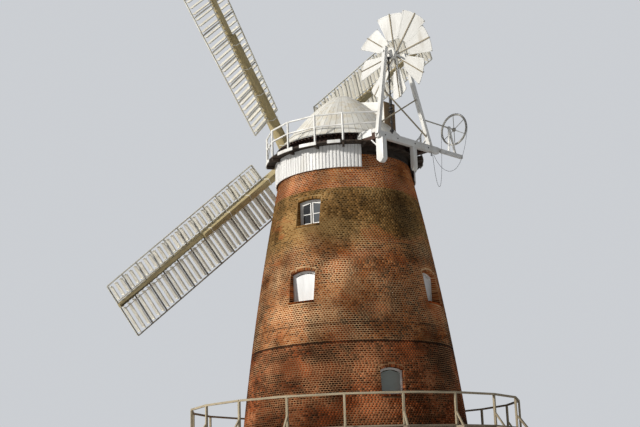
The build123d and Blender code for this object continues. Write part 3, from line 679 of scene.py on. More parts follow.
def brick_rows(low_course, high_course):
    """Place, size, proudness and tone of every brick in some courses, as arrays."""
    rows = []
    for k in range(low_course, high_course):
        low, high = k * course, min((k + 1) * course, tower_height)
        radius = tower_radius((low + high) / 2)
        half_joint = degrees(joint / 2 / radius)
        spans, cut = free_spans(low, high)
        for start, end in spans:
            count = max(1, round(radians(end - start) * radius / header))
            pitch = (end - start) / count
            edges = start + pitch * np.arange(count + 1)
            if not cut:
                edges += pitch * (k % 2) / 2
            elif k % 2:
                edges = np.concatenate([[start], edges[:-1] + pitch / 2, [end]])
            wander = random.normal(0, degrees(0.0016 / radius), len(edges))
            wander[[0, -1]] = 0
            edges += wander
            n = len(edges) - 1
            proud = np.maximum(brick_proud + random.normal(0, 0.0012, n), 0.0008)
            dark = random.random(n) < dark_brick_share
            tone = np.where(dark, dark_brick_tone, np.clip(random.normal(0.56, 0.2, n), 0, 1))
            rows.append(np.stack([
                low + joint / 2 + random.normal(0, 0.0007, n), np.full(n, high - joint / 2),
                edges[:-1] + half_joint, edges[1:] - half_joint, proud, tone], axis=1))
    return np.concatenate(rows)


def brick_mesh(name, rows):
    """Bricks with eased front edges, standing in the mortar."""
    low, high, start, end, proud, tone = rows.T
    points = []
    for out, ease in ((-brick_back, 0.0), (proud, brick_ease)):
        for level, azimuth, up, on in ((low, start, 1, 1), (low, end, 1, -1), (high, end, -1, -1),
                                       (high, start, -1, 1)):
            z = level + up * ease
            radius = tower_radius(z) + out
            a = np.radians(azimuth) + on * ease / radius
            points.append(np.stack([radius * np.cos(a), radius * np.sin(a), z], axis=1))
    places = np.stack(points, axis=1).reshape(-1, 3)
    faces = np.array([(4, 5, 6, 7), (0, 1, 5, 4), (1, 2, 6, 5), (2, 3, 7, 6), (3, 0, 4, 7), (3, 2, 1, 0)])
    corners = (faces[None] + 8 * np.arange(len(rows))[:, None, None]).ravel()
    mesh = bpy.data.meshes.new(name)
    mesh.vertices.add(len(places))
    mesh.vertices.foreach_set("co", places.ravel())
    mesh.loops.add(len(corners))
    mesh.loops.foreach_set("vertex_index", corners)
    mesh.polygons.add(len(rows) * len(faces))
    mesh.polygons.foreach_set("loop_start", np.arange(0, len(corners), 4))
    mesh.update(calc_edges=True)
    set_tone(mesh, np.repeat(tone, len(faces)))
    return mesh


def brickwork():
    """The tower's brick face in bands."""
    bands = np.linspace(0, round(tower_height / course), brickwork_bands + 1).astype(int)
    for number, (low, high) in enumerate(zip(bands, bands[1:]), 1):
        name = f"brickwork_{number}"
        make_object(name, brick_mesh(name, brick_rows(low, high)), "brick", "tower", "brick")


def frame_at(azimuth):
    """Function that places a point in a frame turned to an azimuth, with x out and y across."""
    a = radians(azimuth)
    return lambda x, y, z: Vector((x * cos(a) - y * sin(a), x * sin(a) + y * cos(a), z))


def face_x(y, z):
    """Distance out of the tower's face at a place beside an opening's middle line."""
    return sqrt(tower_radius(z) ** 2 - y * y)


def window_x(place):
    """Distance out of the outer face of a window's frame."""
    sill, width, height, _ = place
    return face_x(width / 2, sill + height) - window_setback


def brick_tone(middle):
    return float(np.clip(random.normal(middle, 0.2), 0, 1))


def opening_brickwork():
    """Arch bricks, jamb bricks and sills of every opening."""
    work = Shape()
    for azimuth, place in opening_places:
        at = frame_at(azimuth)
        sill, width, height, rise = place
        back = window_x(place) - 0.002
        bend = bend_radius(width / 2, rise)
        centre = sill + height - bend
        spread = asin(width / 2 / bend)
        inner, outer = bend - brick_lap, bend + arch_depth - joint
        count = max(3, round(2 * spread * bend / course) | 1)
        for k in range(count):
            tone = brick_tone(0.5)
            proud = brick_proud + random.normal(0, 0.0015)
            outline = []
            for share, r in ((k, inner), (k + 1, inner), (k + 1, outer), (k, outer)):
                shift = joint / 2 / bend * (1 if share == k else -1)
                a = -spread + 2 * spread * share / count + shift
                outline.append((r * sin(a), centre + r * cos(a)))
            work.loft([[at(back, y, z) for y, z in outline],
                       [at(face_x(y, z) + proud, y, z) for y, z in outline]], tone=tone)
        for k in range(ceil(sill / course), ceil((sill + height - rise + 0.01) / course) - 1):
            low, high = k * course + joint / 2, (k + 1) * course - joint / 2
            for side in (-1, 1):
                near, far = side * (width / 2 - brick_lap), side * (width / 2 + 0.01)
                front = face_x(near, high) - brick_lap
                outline = [(back, near), (front, near), (front, far), (back, far)]
                work.slab(at, 2, (low, high), outline, brick_tone(0.45))
        if sill > 2 * course:
            count = round(width / course)
            pitch = width / count
            bottom = sill - course
            front = face_x(0, bottom) + 0.022
            outline = [(back - 0.02, sill + 0.012), (front, sill - 0.012), (front, bottom), (back, bottom)]
            for y in (-width / 2 + k * pitch + joint / 2 for k in range(count)):
                work.slab(at, 1, (y, y + pitch - joint), outline, brick_tone(0.4))
    work.object("opening_bricks", "brick", "tower", "brick", bevel=0.002)


# Windows and doors


def leaf_x(place):
    """Distance out of the middle of a leaf in its frame."""
    return window_x(place) - frame_depth / 2


def leaf_outline(place):
    """Outline of a leaf inside its frame, as places across and heights."""
    sill, width, height, rise = place
    half = width / 2 - frame_width - leaf_gap
    low = sill + frame_width + leaf_gap
    spring = sill + height - frame_width - rise - leaf_gap
    bend = bend_radius(half, rise)
    spread = asin(half / bend)
    return [(-half, low), (half, low)] + [
        (bend * sin(a), spring + rise - bend + bend * cos(a)) for a in np.linspace(spread, -spread, 8)]


def head_at(outline, y):
    """Height of an outline's head above a place across."""
    across, heights = zip(*sorted(outline[2:]))
    return float(np.interp(y, across, heights))


def boarded_leaf(shape, azimuth, place, boards):
    """Upright boards that fill a leaf's outline."""
    at, x = frame_at(azimuth), leaf_x(place)
    outline = leaf_outline(place)
    half, low = outline[1]
    pitch = 2 * half / boards
    for k in range(boards):
        y0 = -half + k * pitch + 0.002
        y1 = y0 + pitch - 0.004
        face = [(y0, low), (y1, low)] + [(y, head_at(outline, y)) for y in (y1, (y0 + y1) / 2, y0)]
        shape.slab(at, 0, (x - leaf_thickness / 2, x + leaf_thickness / 2), face)


def casements(sashes, panes):
    """Two glazed casements in each top window."""
    for azimuth, place in glazed_places:
        at, x = frame_at(azimuth), leaf_x(place) + 0.02
        outline = leaf_outline(place)
        half, low = outline[1]
        for side in (-1, 1):
            left, right = sorted((side * 0.022, side * half))
            heads = head_at(outline, left), head_at(outline, right)
            middle = (low + min(heads)) / 2
            for y, top in zip((left + stile / 2, right - stile / 2), heads):
                sashes.bar(at(x, y, low), at(x, y, top), stile, 0.035, up=at(1, 0, 0))
            for z0, z1, deep in ((low + 0.03, low + 0.03, 0.06), (middle, middle, 0.028),
                                 (heads[0] - 0.025, heads[1] - 0.025, 0.05)):
                sashes.bar(at(x, left + stile, z0), at(x, right - stile, z1), 0.035, deep)
            y0, y1 = left + stile * 0.8, right - stile * 0.8
            for z0, z1 in ((low + 0.05, middle - 0.01), (middle + 0.01, min(heads) - 0.03)):
                # One leaf's panes grey, the other's near black: painted reflection on the grey ones
                panes.slab(at, 0, (x - 0.003, x + 0.003), ((y0, z0), (y1, z0), (y1, z1), (y0, z1)),
                           0.85 if side > 0 else 0.15)


def joinery():
    """Window leaves, the glazed casements and the doors."""
    leaves, panels, sashes, panes, doors, irons = (Shape() for _ in range(6))
    for azimuth, place in boarded_places:
        boarded_leaf(panels if place is stage_window else leaves, azimuth, place, 1)
    leaves.object("window_leaves", "white_panel", "tower", "white_paint", ("window_boards",), bevel=0.002)
    panels.object("stage_window_panels", "grey_panel", "tower", "white_paint", bevel=0.002)
    casements(sashes, panes)
    sashes.object("casements", "white_paint", "tower", "white_paint")
    panes.object("casement_panes", "window_glass", "tower", "window_glass", ("window_glass",), bevel=0)
    for azimuth, place in door_places:
        at, x = frame_at(azimuth), leaf_x(place)
        sill, width, height, _ = place
        boarded_leaf(doors, azimuth, place, 8)
        half = width / 2 - frame_width - 0.01
        for z in (sill + 0.35, sill + height - 0.6):
            irons.bar(at(x + 0.019, -half, z), at(x + 0.019, half * 0.6, z), 0.006, 0.05)
        irons.torus(at(x + 0.05, half - 0.1, sill + height * 0.48), at(0, 1, 0), 0.035, 0.006)
    doors.object("door_leaves", "white_boards", "tower", "white_paint", ("doors",))
    irons.object("hinges_and_rings", "iron", "tower", "iron", bevel=0.001)
    dress("window_and_door_frames", "white_paint", 0.006)


# Stage


def stage_boards():
    """Boards laid bay by bay, across the radial joists."""
    boards = Shape()
    half_bay = pi / stage_sides
    near = tower_radius(stage_top) * cos(half_bay)
    width = stage_edge * cos(half_bay) - near
    count = round(width / stage_board)
    for bay in range(stage_sides):
        at = frame_at(stage_first_corner + (bay + 0.5) * 360 / stage_sides)
        for k in range(count):
            d0 = near + width * k / count + 0.003
            d1 = near + width * (k + 1) / count - 0.003
            corners = ((d0, -1), (d1, -1), (d1, 1), (d0, 1))
            outline = [(d, side * (d * tan(half_bay) - 0.002)) for d, side in corners]
            drop = random.random() * 0.003
            boards.slab(at, 2, (stage_top - stage_deck, stage_top - drop), outline)
    boards.object("stage_boards", "timber", "tower", "timber", ("stage_deck",))


# Cap


def skirt():
    """Skirt boards with a batten on each."""
    boards = Shape()
    first, last = skirt_span
    count, pitch = pitch_round(skirt_radius, skirt_board, last - first)
    middle = skirt_radius - 0.012
    for start in (first + k * pitch for k in range(count)):
        boards.arc(skirt_radius - 0.03, middle, skirt_foot, cap_ring_top, start + pitch * 0.03,
                   start + pitch * 0.97)
        boards.arc(middle, skirt_radius + 0.01, skirt_foot, cap_ring_top - 0.01, start + pitch * 0.28,
                   start + pitch * 0.72)
    boards.object("skirt_boards", "white_boards", "cap", "white_boards", ("cap_skirt",))


def gallery():
    """Gallery boards, its white fascia in lengths and the brackets below it; boards and brackets are near
    black as painted shade.
    """
    boards, fascia, brackets = Shape(), Shape(), Shape()
    for azimuth in range(0, 360, 3):
        wide = any(start <= a < end for start, end in gallery_spans for a in (azimuth, azimuth - 360))
        boards.arc(gallery_inner_radius, gallery_radius if wide else skirt_radius, cap_ring_top, gallery_top,
                   azimuth + 0.05, azimuth + 2.95)
    boards.object("gallery_boards", "black_painted_shade_boards", "cap", "timber", ("cap_gallery_deck",))
    for right in (True, False):
        for start, end in ((-45, -27), (-11, 5), (11, 24), (32, 41)):
            span = (start, end) if right else (180 - end, 180 - start)
            fascia.arc(gallery_radius - 0.005, gallery_radius + 0.022, cap_ring_top - 0.05,
                       gallery_top + 0.02, *span, 8)
        for azimuth in (-42, -21, 0, 23, 43, 58):
            a = azimuth if right else 180 - azimuth
            brackets.bar(around(a, skirt_radius + 0.02, cap_ring_top - 0.07),
                         around(a, gallery_radius - 0.02, cap_ring_top - 0.05), 0.08, 0.1)
    fascia.object("gallery_fascia", "white_paint", "cap", "white_paint")
    brackets.object("gallery_brackets", "black_painted_shade_boards", "cap", "timber", bevel=0.004)


def drum():
    """Drum boards and the rafter feet at the eave, with a gap at the breast; both are near black as painted
    shade under the eave.
    """
    boards, feet = Shape(), Shape()
    count, pitch = pitch_round(drum_radius, drum_board)
    for k in range(count):
        middle = around((k + 0.5) * pitch, drum_radius, 0)
        if abs(middle.x) < breast_half_width + 0.06 and middle.y < 0:
            continue
        on_sheer = abs(abs(middle.x) - sheer_x) < sheer_half_width + 0.07
        low = (sheer_top if on_sheer else gallery_top) + 0.001
        boards.arc(drum_radius - 0.04, drum_radius - 0.006 * random.random(), low, eave_height + 0.03,
                   (k + 0.04) * pitch, (k + 0.96) * pitch)
    boards.object("drum_boards", "dark_boards", "cap", "dark_boards", ("cap_drum",))
    count, pitch = pitch_round(eave_radius, rafter_spacing)
    for azimuth in (k * pitch for k in range(count)):
        middle = around(azimuth, drum_radius, 0)
        if abs(middle.x) < breast_half_width + 0.08 and middle.y < 0:
            continue
        feet.arc(drum_radius - 0.01, eave_radius - 0.05, eave_height - 0.075, eave_height - 0.002,
                 azimuth - 0.6, azimuth + 0.6)
    feet.object("rafter_feet", "dark_boards", "cap", "timber")


def dome_line():
    """Outer line of the dome as radius and height, read off the dome's own node."""
    mesh = frame["nodes"]["cap_dome"].data
    found = {}
    for polygon in mesh.polygons:
        for place in (mesh.vertices[index].co for index in polygon.vertices):
            out = Vector((place.x, place.y, 0))
            outer = polygon.normal.dot(out) + polygon.normal.z * 0.3 > 0.02
            if outer and place.y > 0 and place.z > eave_height + 0.001:
                z = round(place.z, 3)
                found[z] = max(found.get(z, 0.0), out.length)
    line = [(eave_radius, eave_height)]
    for z in sorted(found):
        if found[z] < line[-1][0] - 0.01 and z > line[-1][1] + 0.01:
            line.append((found[z], z))
    line.append((0.02, max(v.co.z for v in mesh.vertices)))
    return even_points(line, dome_rings)


def dome():
    """Boarded dome: narrow tapering boards with open joints, a rim and a lining."""
    line = dome_line()
    inner = (eave_radius - dome_thickness) / eave_radius
    lining = [(r * inner, eave_height + (z - eave_height) * inner)
              for r, z in (line[0], line[dome_rings // 2], line[-1])]
    gores, pitch = pitch_round(eave_radius, dome_board)
    work = bmesh.new()
    tone_layer = work.faces.layers.float.new("tone")
    columns = []
    for k in range(gores):
        for share, depth in ((0.0, dome_groove), (0.03, 0.0), (0.97, 0.0)):
            shell = [(r - depth, z - depth * 0.4) for r, z in line]
            columns.append([work.verts.new(around((k + share) * pitch, max(r, 0.004), z))
                            for r, z in shell + lining])
    for number, (here, there) in enumerate(zip(columns, columns[1:] + columns[:1])):
        tone = random.random() if number % 3 == 1 else -1.0
        for j in range(dome_rings - 1):
            face = work.faces.new((here[j], there[j], there[j + 1], here[j + 1]))
            face[tone_layer] = tone
        work.faces.new((here[dome_rings], there[dome_rings], there[0], here[0]))
        for j in range(dome_rings, dome_rings + 2):
            work.faces.new((there[j], here[j], here[j + 1], there[j + 1]))
    for ring in (dome_rings - 1, dome_rings + 2):
        work.faces.new([points[ring] for points in columns])
    for place, normal in (((breast_half_width, 0, 0), (1, 0, 0)), ((-breast_half_width, 0, 0), (1, 0, 0)),
                          ((0, 0, breast_top), (0, 0, 1))):
        near = [f for f in work.faces if f.calc_center_median().y < 0]
        geometry = set(near) | {e for f in near for e in f.edges} | {v for f in near for v in f.verts}
        bmesh.ops.bisect_plane(work, geom=list(geometry), plane_co=place, plane_no=normal, dist=1e-5)
    middles = [(face, face.calc_center_median()) for face in work.faces]
    doomed = [face for face, m in middles if abs(m.x) < breast_half_width and m.y < -1.0 and m.z < breast_top]
    bmesh.ops.delete(work, geom=doomed, context="FACES")
    bmesh.ops.recalc_face_normals(work, faces=work.faces)
    settle(work, bpy.data.meshes.new("dome_boards"), "dome_boards", "cap_covering", "cap", "cap_covering",
           ("cap_dome",), angle=40)


def platform_sides():
    """White boards on the sheers' outer sides at the fan stage, and a small brace below the right one."""
    low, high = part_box("fan_stage_deck")
    post_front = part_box("fan_posts")[0].y
    hanging_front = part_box("hanging_posts")[0].y
    boards = Shape()
    for side in (-1, 1):
        x = side * (high.x + 0.013)
        boards.bar((x, low.y, high.z - 0.13), (x, post_front, high.z - 0.13), 0.024, 0.28)
    x = sheer_x + 0.085
    boards.bar((x, hanging_front - 0.24, cap_ring_top + 0.06), (x, hanging_front + 0.01, cap_ring_top - 0.2),
               0.05, 0.05)
    boards.object("platform_side_boards", "white_boards", "cap", "white_paint")


def dormer():
    """The dormer and the brown boards of its rear face."""
    dress("rear_hood", "white_paint", 0.008, 2)
    low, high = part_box("rear_hood")
    boards = Shape()
    pitch = (high.x - low.x) / 5
    for x in (low.x + (k + 0.5) * pitch for k in range(5)):
        boards.bar((x, high.y + 0.012, sheer_top + 0.09), (x, high.y + 0.012, high.z - 0.4),
                   pitch - 0.006, 0.022, up=(0, 1, 0))
    boards.object("dormer_rear_boards", "brown_boards", "cap", "white_paint")


# Sails


def sail_axes(number, offset=0.0):
    """Middle of a sail's stock on the shaft, and the ways along and across the sail."""
    a = radians(sail_angle + 90 * number)
    level = Vector((1, 0, 0))
    return (shaft_origin + shaft_out * (sail_plane + offset), shaft_up * sin(a) - level * cos(a),
            level * sin(a) + shaft_up * cos(a))


def sail_point(axes, r, s):
    origin, along, across = axes
    share = (r - sail_heel) / (sail_radius - sail_heel)
    twist = radians(heel_twist + (tip_twist - heel_twist) * share)
    return origin + along * r + across * s * cos(twist) - shaft_out * s * sin(twist)


def on_whip(place, number):
    """Whether a place is on the whip of a sail."""
    origin, along, across = sail_axes(number)
    way = place - origin
    return (sail_heel - 1 < way.dot(along) < sail_radius + 0.2
            and abs(way.dot(across)) < whip_root / 2 + 0.004 and abs(way.dot(shaft_out)) < 0.3)


def shutter(shape, axes, r, near, far, width):
    """One shutter: a cambered vane between two stiles, on its end battens."""
    a, b = sail_point(axes, r, near), sail_point(axes, r, far)
    line = (b - a).normalized()
    rise = shaft_out * cos(shutter_tilt) + axes[1] * sin(shutter_tilt)
    rise = (rise - line * rise.dot(line)).normalized()
    face = line.cross(rise)
    tone = random.random()
    outline = []
    stations = (-0.5, -0.38, -0.14, 0.14, 0.38, 0.5)
    thick = (0.008, 0.005, 0.003, 0.003, 0.005, 0.008)
    for side in (1, -1):
        for share, half in zip(stations[::side], thick[::side]):
            camber = 0.012 * (1 - (2 * share) ** 2)
            outline.append(rise * width * share + face * (camber + side * half))
    shape.loft([[end + p for p in outline] for end in (a, b)], tone=tone)
    for middle in (a + line * 0.006, b - line * 0.006):
        shape.bar(middle - rise * width / 2, middle + rise * width / 2, 0.012, 0.03, up=face, tone=tone)


def sails():
    """Shutters, shutter bars and their levers on the four dressed sail frames."""
    for number in range(4):
        data = dress(f"sail_frame_{number + 1}", "sail_paint", 0.004).data
        data.materials.append(looks["sail_timber"])
        for polygon in data.polygons:
            if any(on_whip(polygon.center, k) for k in range(4)):
                polygon.material_index = 1
    dress("sail_stock_1", "sail_timber", 0.012, 2)
    dress("sail_stock_2", "sail_timber", 0.012, 2)
    leaf = (sail_radius - sail_heel) / sail_bays / shutters_per_bay
    shutters, levers = Shape(), Shape()
    near = whip_root / 2 + shutter_gap
    outer = hem_half_width + shutter_gap
    bar_side = -0.07
    lift = shaft_out * (whip_root / 2 + 0.02)
    for number in range(4):
        axes = sail_axes(number, (number % 2 - 0.5) * stock_step)
        _, along, across = axes
        bar = [sail_point(axes, r, bar_side) + lift for r in (sail_heel - 0.9, sail_radius - 0.1)]
        levers.bar(*bar, 0.035, 0.022, up=shaft_out, tone=0.6)
        bar = [sail_point(axes, r, near + 0.05) for r in (sail_heel - 0.1, sail_radius - 0.1)]
        levers.bar(*(end - shaft_out * 0.05 for end in bar), 0.028, 0.014, up=shaft_out, tone=0.8)
        for r in (sail_heel + (k + 0.5) * leaf for k in range(sail_bays * shutters_per_bay)):
            for ends in ((-narrow_side + outer, -near), (near, wide_side - outer)):
                shutter(shutters, axes, r, *ends, leaf - 0.03)
            inner = sail_point(axes, r, near + 0.05)
            levers.bar(inner - shaft_out * 0.06 - along * 0.02, inner + shaft_out * 0.05, 0.014, 0.05,
                       up=across, tone=0.8)
            seat = sail_point(axes, r, whip_root / 2 + 0.012)
            levers.bar(seat - along * 0.04, seat + along * 0.04, 0.03, 0.05, up=shaft_out, tone=0.9)
            foot = sail_point(axes, r, -near + 0.01) + shaft_out * 0.05
            head = sail_point(axes, r + leaf * 0.45, bar_side) + lift
            levers.bar(foot, head, 0.016, 0.012, up=shaft_out, tone=0.3)
    shutters.object("shutters", "sail_white", "sails", "sail_white", ("sail_shutters",), bevel=0)
    levers.object("shutter_bars", "sail_paint", "sails", "iron", bevel=0)


def stock_straps():
    """Straps that clamp the whips to the tapering stocks, with their nuts."""
    straps = Shape()
    for number in (1, 0):
        behind = stock_half_depth + whip_root / 2
        centre, along, across = sail_axes(number, (number - 0.5) * stock_step - behind)
        for r in (0.7, 1.9, 3.1, 4.3, 5.4):
            taper = stock_taper * r / stock_length
            size = stock_half_depth - taper
            start = shaft_out * (taper - size - 0.012)
            for place in (centre - along * r, centre + along * r):
                straps.bar(place + start - across * (size + 0.02), place + start + across * (size + 0.02),
                           0.035, 0.01, up=shaft_out)
                for side in (-1, 1):
                    edge = place + across * side * (size + 0.008)
                    straps.bar(edge + start, edge + shaft_out * 0.2, 0.035, 0.01, up=across)
                    straps.rod(edge + start - shaft_out * 0.02, edge + start + shaft_out * 0.01, 0.02, 6)
    straps.object("stock_straps", "sail_paint", "sails", "iron", bevel=0.002)


# Fantail and machinery


def fan_blades():
    """Eight blades, each of two boards with battens round its edge and an arm up its middle."""
    boards, arms = Shape(), Shape()
    gap = 0.008
    batten = (-0.004, fan_blade_thickness)
    rim = 1 - 0.05 / fan_radius
    for k in range(8):
        turn = (Matrix.Translation(fan_centre) @ Matrix.Rotation(radians(fan_first_spoke + 45 * k), 4, "X")
                @ Matrix.Rotation(fan_pitch, 4, "Y") @ Matrix.Translation((fan_spoke / 2, 0, 0)))

        def at(x, y, z):
            return turn @ Vector((x, y, z))

        for side in (-1, 1):
            arc = [Vector((cos(a), side * sin(a))) * fan_radius
                   for a in np.linspace(fan_half_angle, gap / fan_radius, 6)]
            root = Vector((fan_inner_radius, side * fan_root_width / 2))
            tone = random.random()
            outline = [(fan_inner_radius, side * gap), root] + arc
            boards.slab(at, 0, (0.002, fan_blade_thickness - 0.004), outline, tone)
            way = (arc[0] - root).normalized()
            inward = Vector((way.y, -way.x)) * side * 0.06
            upward = Vector((0.06, 0))
            middle = Vector((root.x, side * 0.02))
            for strip in ([root, arc[0], arc[0] + inward, root + inward],
                          [root, root + upward, middle + upward, middle],
                          *([a, b, b * rim, a * rim] for a, b in zip(arc, arc[1:]))):
                boards.slab(at, 0, batten, strip, tone)
        x = fan_blade_thickness + 0.012
        arms.bar(at(x, 0.16, 0), at(x, fan_radius + 0.03, 0), 0.024, 0.042, up=at(0, 0, 1) - at(0, 0, 0))
    arms.object("fan_arm_battens", "grey_timber", "fantail", "sail_white")
    boards.object("fan_boards", "white_paint", "fantail", "sail_white", ("fan_blades",), bevel=0.0015,
                  angle=60)


def fan_wheel():
    """Teeth and arms of the bevel wheel on the fantail's axle."""
    teeth = Shape()
    for count, x, inner, outer, width, depth in ((44, 0.342, 0.2, 0.255, 0.014, 0.006),
                                                 (6, 0.298, 0.06, 0.2, 0.03, 0.012)):
        for a in turns(count):
            centre, ray = fan_centre + Vector((x, 0, 0)), Vector((0, cos(a), sin(a)))
            teeth.bar(centre + ray * inner, centre + ray * outer, width, depth, up=(1, 0, 0))
    teeth.object("fan_wheel_teeth", "grey_iron", "fantail", "iron", bevel=0)


def drive_gear():
    """Couplings, a toothed disc and the pinion's teeth on the fantail's upright drive shaft."""
    dress("fan_drive_shaft", "iron", 0.002)
    gear = Shape()
    for low, high, radius in ((15.32, 15.42, 0.05), (16.08, 16.42, 0.06), (15.78, 15.83, 0.09),
                              (15.92, 15.97, 0.075), (15.0, 15.06, 0.08), (17.0, 17.12, 0.05)):
        gear.rod((drive_x, fan_centre.y, low), (drive_x, fan_centre.y, high), radius, 20)
    for a in turns(18):
        ray = Vector((cos(a), sin(a), 0))
        for z, inner, outer, width in ((15.805, 0.085, 0.105, 0.016), (18.0, 0.073, 0.077, 0.012)):
            place = Vector((drive_x, fan_centre.y, z))
            gear.bar(place + ray * inner, place + ray * outer, width, 0.05)
    gear.object("drive_couplings", "iron", "fan_drive", "iron")


def hanging_points(a, b, low, count):
    """Points of a chain that hangs from a to b and dips to a height."""
    rises = (a.z - low, b.z - low)
    span = (b - a).to_2d().length
    least, most = 0.001, span * span
    while most - least > 1e-6:
        curve = (least + most) / 2
        reach = curve * sum(acosh(1 + rise / curve) for rise in rises)
        least, most = (curve, most) if reach < span else (least, curve)
    start, end = -acosh(1 + rises[0] / curve), acosh(1 + rises[1] / curve)
    points = []
    for share in (k / (count + 1) for k in range(1, count + 1)):
        u = asinh(sinh(start) * (1 - share) + sinh(end) * share)
        place = a + (b - a) * ((u - start) / (end - start))
        points.append(Vector((place.x, place.y, low + curve * (cosh(u) - 1))))
    return points


def chain_route():
    """The endless chain's middle line: over the wheel, down to the hook and back."""
    wheel_loop = wheel_radius + 0.02
    hook_loop = hook_radius + 0.0123
    straight = 0.12
    sides = {}
    for side, sag in ((1, 0.6), (-1, 1.08)):
        first = wheel_centre + Vector((0, side * wheel_loop, -straight))
        end = hook_centre + Vector((0, side * hook_loop, 0))
        last = end - Vector((straight, 0, 0))
        sides[side] = [first] + hanging_points(first, last, hook_centre.z - sag, 60) + [last, end]
    over_wheel = [wheel_centre + Vector((0, -cos(a), sin(a))) * wheel_loop for a in np.linspace(0, pi, 25)]
    around_hook = [hook_centre + Vector((sin(a), cos(a), 0)) * hook_loop
                   for a in np.linspace(0.3, pi - 0.3, 6)]
    return over_wheel + sides[1] + around_hook + sides[-1][::-1]


def chain():
    """Links of wire along the chain's line, turned by a quarter from one to the next."""
    route = chain_route()
    loop = route + route[:1]
    count = round(lengths_along(loop)[-1] / link_pitch) // 2 * 2
    places = [Vector(p) for p in even_points(loop, count + 1)]
    links = Shape()
    spread = link_half_width - link_wire
    for k, (a, b) in enumerate(zip(places, places[1:])):
        way = (b - a).normalized()
        side = way.cross(Vector((0, 0, 1)) if abs(way.z) < 0.9 else Vector((0, 1, 0))).normalized()
        if k % 2:
            side = way.cross(side)
        over = way.cross(side)
        half = (b - a).length / 2
        sections = []
        for t in turns(12):
            centre = (a + b) / 2 + way * (cos(t) * (half + link_wire)) + side * (sin(t) * spread)
            out = (way * cos(t) * spread + side * sin(t) * half).normalized()
            sections.append([centre + (out * cos(u) + over * sin(u)) * link_wire for u in turns(4)])
        links.loft(sections, closed=True)
    links.object("chain_links", "iron", "cap", "iron", ("chain",), bevel=0)


def bolts():
    """Bolt heads on the hanging posts and the rear beam."""
    heads = Shape()
    post_front, beam_rear = 3.03, 3.29
    for x in (1.419, -0.422):
        for z in (sheer_top - 0.36, sheer_top - 0.62):
            heads.rod((x, post_front - 0.012, z), (x, post_front, z), 0.02, 6)
    for x in (-2.0, -1.3, -0.5, 0.5, 1.2):
        heads.rod((x, beam_rear, sheer_top - 0.13), (x, beam_rear + 0.015, sheer_top - 0.13), 0.028, 6)
    heads.object("bolt_heads", "iron", "cap", "iron", bevel=0.002)


# Whole

# Nodes that are dressed, in order: look, width and steps of the eased edges
dressed = (
    ("stage_joists", "timber", 0.006, 1), ("stage_struts", "timber", 0.006, 1),
    *((f"stage_rail_{k}", "rail_timber", 0.008, 2) for k in range(1, 5)),
    # cap_sheers: near black as painted shade
    ("cap_sheers", "dark_boards", 0.008, 1), ("cap_cross_beams", "timber", 0.006, 1),
    ("breast_boards", "white_paint", 0.004, 1), ("cap_rail_right", "white_paint", 0.006, 2),
    ("cap_rail_left", "white_paint", 0.006, 2), ("fan_posts", "white_paint", 0.01, 2),
    ("fan_braces", "grey_timber", 0.003, 1), ("rear_beam", "white_paint", 0.008, 2),
    ("hanging_posts", "white_paint", 0.01, 2), ("fan_stage_deck", "white_paint", 0.005, 1),
    ("chain_wheel_stand", "white_paint", 0.005, 1), ("poll_end", "iron", 0.01, 2))

# Nodes whose shape is right as it is, and their looks
kept_nodes = {
    # curb and cap_ring: near black as painted shade
    "curb": "black_painted_shade_boards", "cap_ring": "black_painted_shade_boards", "upper_floors": "timber",
    "ground_floor": "floor_tiles", "shaft_bearings": "iron", "shaft_seat": "iron", "chain_hook": "iron",
    "windshaft": "iron", **{f"tower_wall_{k}": "mortar" for k in range(1, 9)}}


def keep_nodes():
    for name, look in kept_nodes.items():
        materials = frame["nodes"][name].data.materials
        materials.clear()
        materials.append(looks[look])


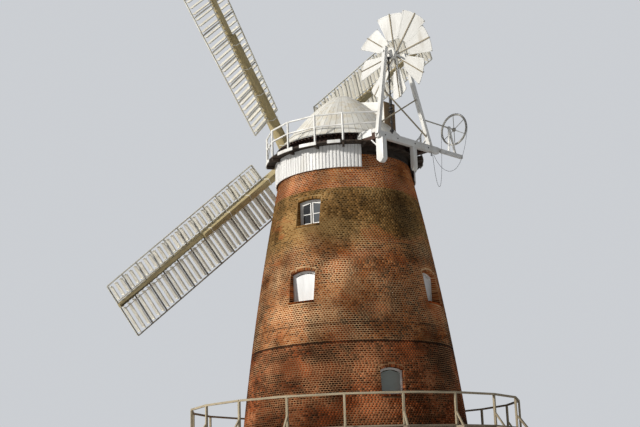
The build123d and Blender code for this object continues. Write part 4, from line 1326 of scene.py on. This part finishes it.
def add_camera():
    data = bpy.data.cameras.new("camera")
    data.sensor_width = 36
    data.lens = focal_pixels * data.sensor_width / photo_width
    data.clip_end = 800
    camera = put("camera", data)
    camera.matrix_world = Matrix.Translation(camera_place)
    for angle, axis in ((camera_heading - pi / 2, "Z"), (camera_pitch + pi / 2, "X"), (camera_roll, "Z")):
        camera.matrix_world = camera.matrix_world @ Matrix.Rotation(angle, 4, axis)
    bpy.context.scene.camera = camera


def add_light():
    """Soft low key from the sails' right, plain fill from all round and a pale background."""
    scene = bpy.context.scene
    scene.view_settings.view_transform = "Standard"
    scene.world = bpy.data.worlds.new("world")
    world = Nodes(scene.world)
    fill = world.node("ShaderNodeBackground", (0.88, 0.93, 1.0), 0.17)
    pale = world.node("ShaderNodeBackground", (0.6, 0.62, 0.65), 1.0)
    rays = world.node("ShaderNodeLightPath").node.outputs
    seen = world.sum(*(rays[f"Is {kind} Ray"] for kind in ("Camera", "Glossy", "Transmission")))
    shader = world.node("ShaderNodeMixShader", seen, fill, pale)
    world.join(shader, world.tree.nodes["World Output"].inputs[0])
    key = bpy.data.lights.new("key", "SUN")
    key.energy = 3.3
    key.angle = 0.1
    key.color = (1.0, 0.96, 0.88)
    lamp = put("key", key)
    azimuth, elevation = -16, radians(23)
    lamp.rotation_euler = around(azimuth, cos(elevation), sin(elevation)).to_track_quat("Z", "Y").to_euler()


def add_floor():
    mesh = bpy.data.meshes.new("floor")
    half = 260
    corners = [(-half, -half, 0), (half, -half, 0), (half, half, 0), (-half, half, 0)]
    mesh.from_pydata(corners, [], [(0, 1, 2, 3)])
    floor = put("floor", mesh)
    look = Look("floor", 0.9)
    look.finish((0.82, 0.82, 0.81))
    look.join((0.8, 0.82, 0.84), look.shader["Emission Color"])
    seen = look.node("ShaderNodeLightPath", output="Is Camera Ray")
    look.join(look.times(seen, 0.22), look.shader["Emission Strength"])
    mesh.materials.append(look.material)


make_looks()
add_camera()
add_light()
add_floor()
keep_nodes()
brickwork()
opening_brickwork()
joinery()
stage_boards()
for node, look, bevel, segments in dressed:
    dress(node, look, bevel, segments)
skirt()
gallery()
drum()
dome()
platform_sides()
dormer()
sails()
stock_straps()
fan_blades()
dress("fan_spokes", "white_paint", 0.005)
dress("fan_axle", "white_paint", 0.003)
fan_wheel()
drive_gear()
chain()
dress("chain_wheel", "grey_iron", 0.002)
bolts()
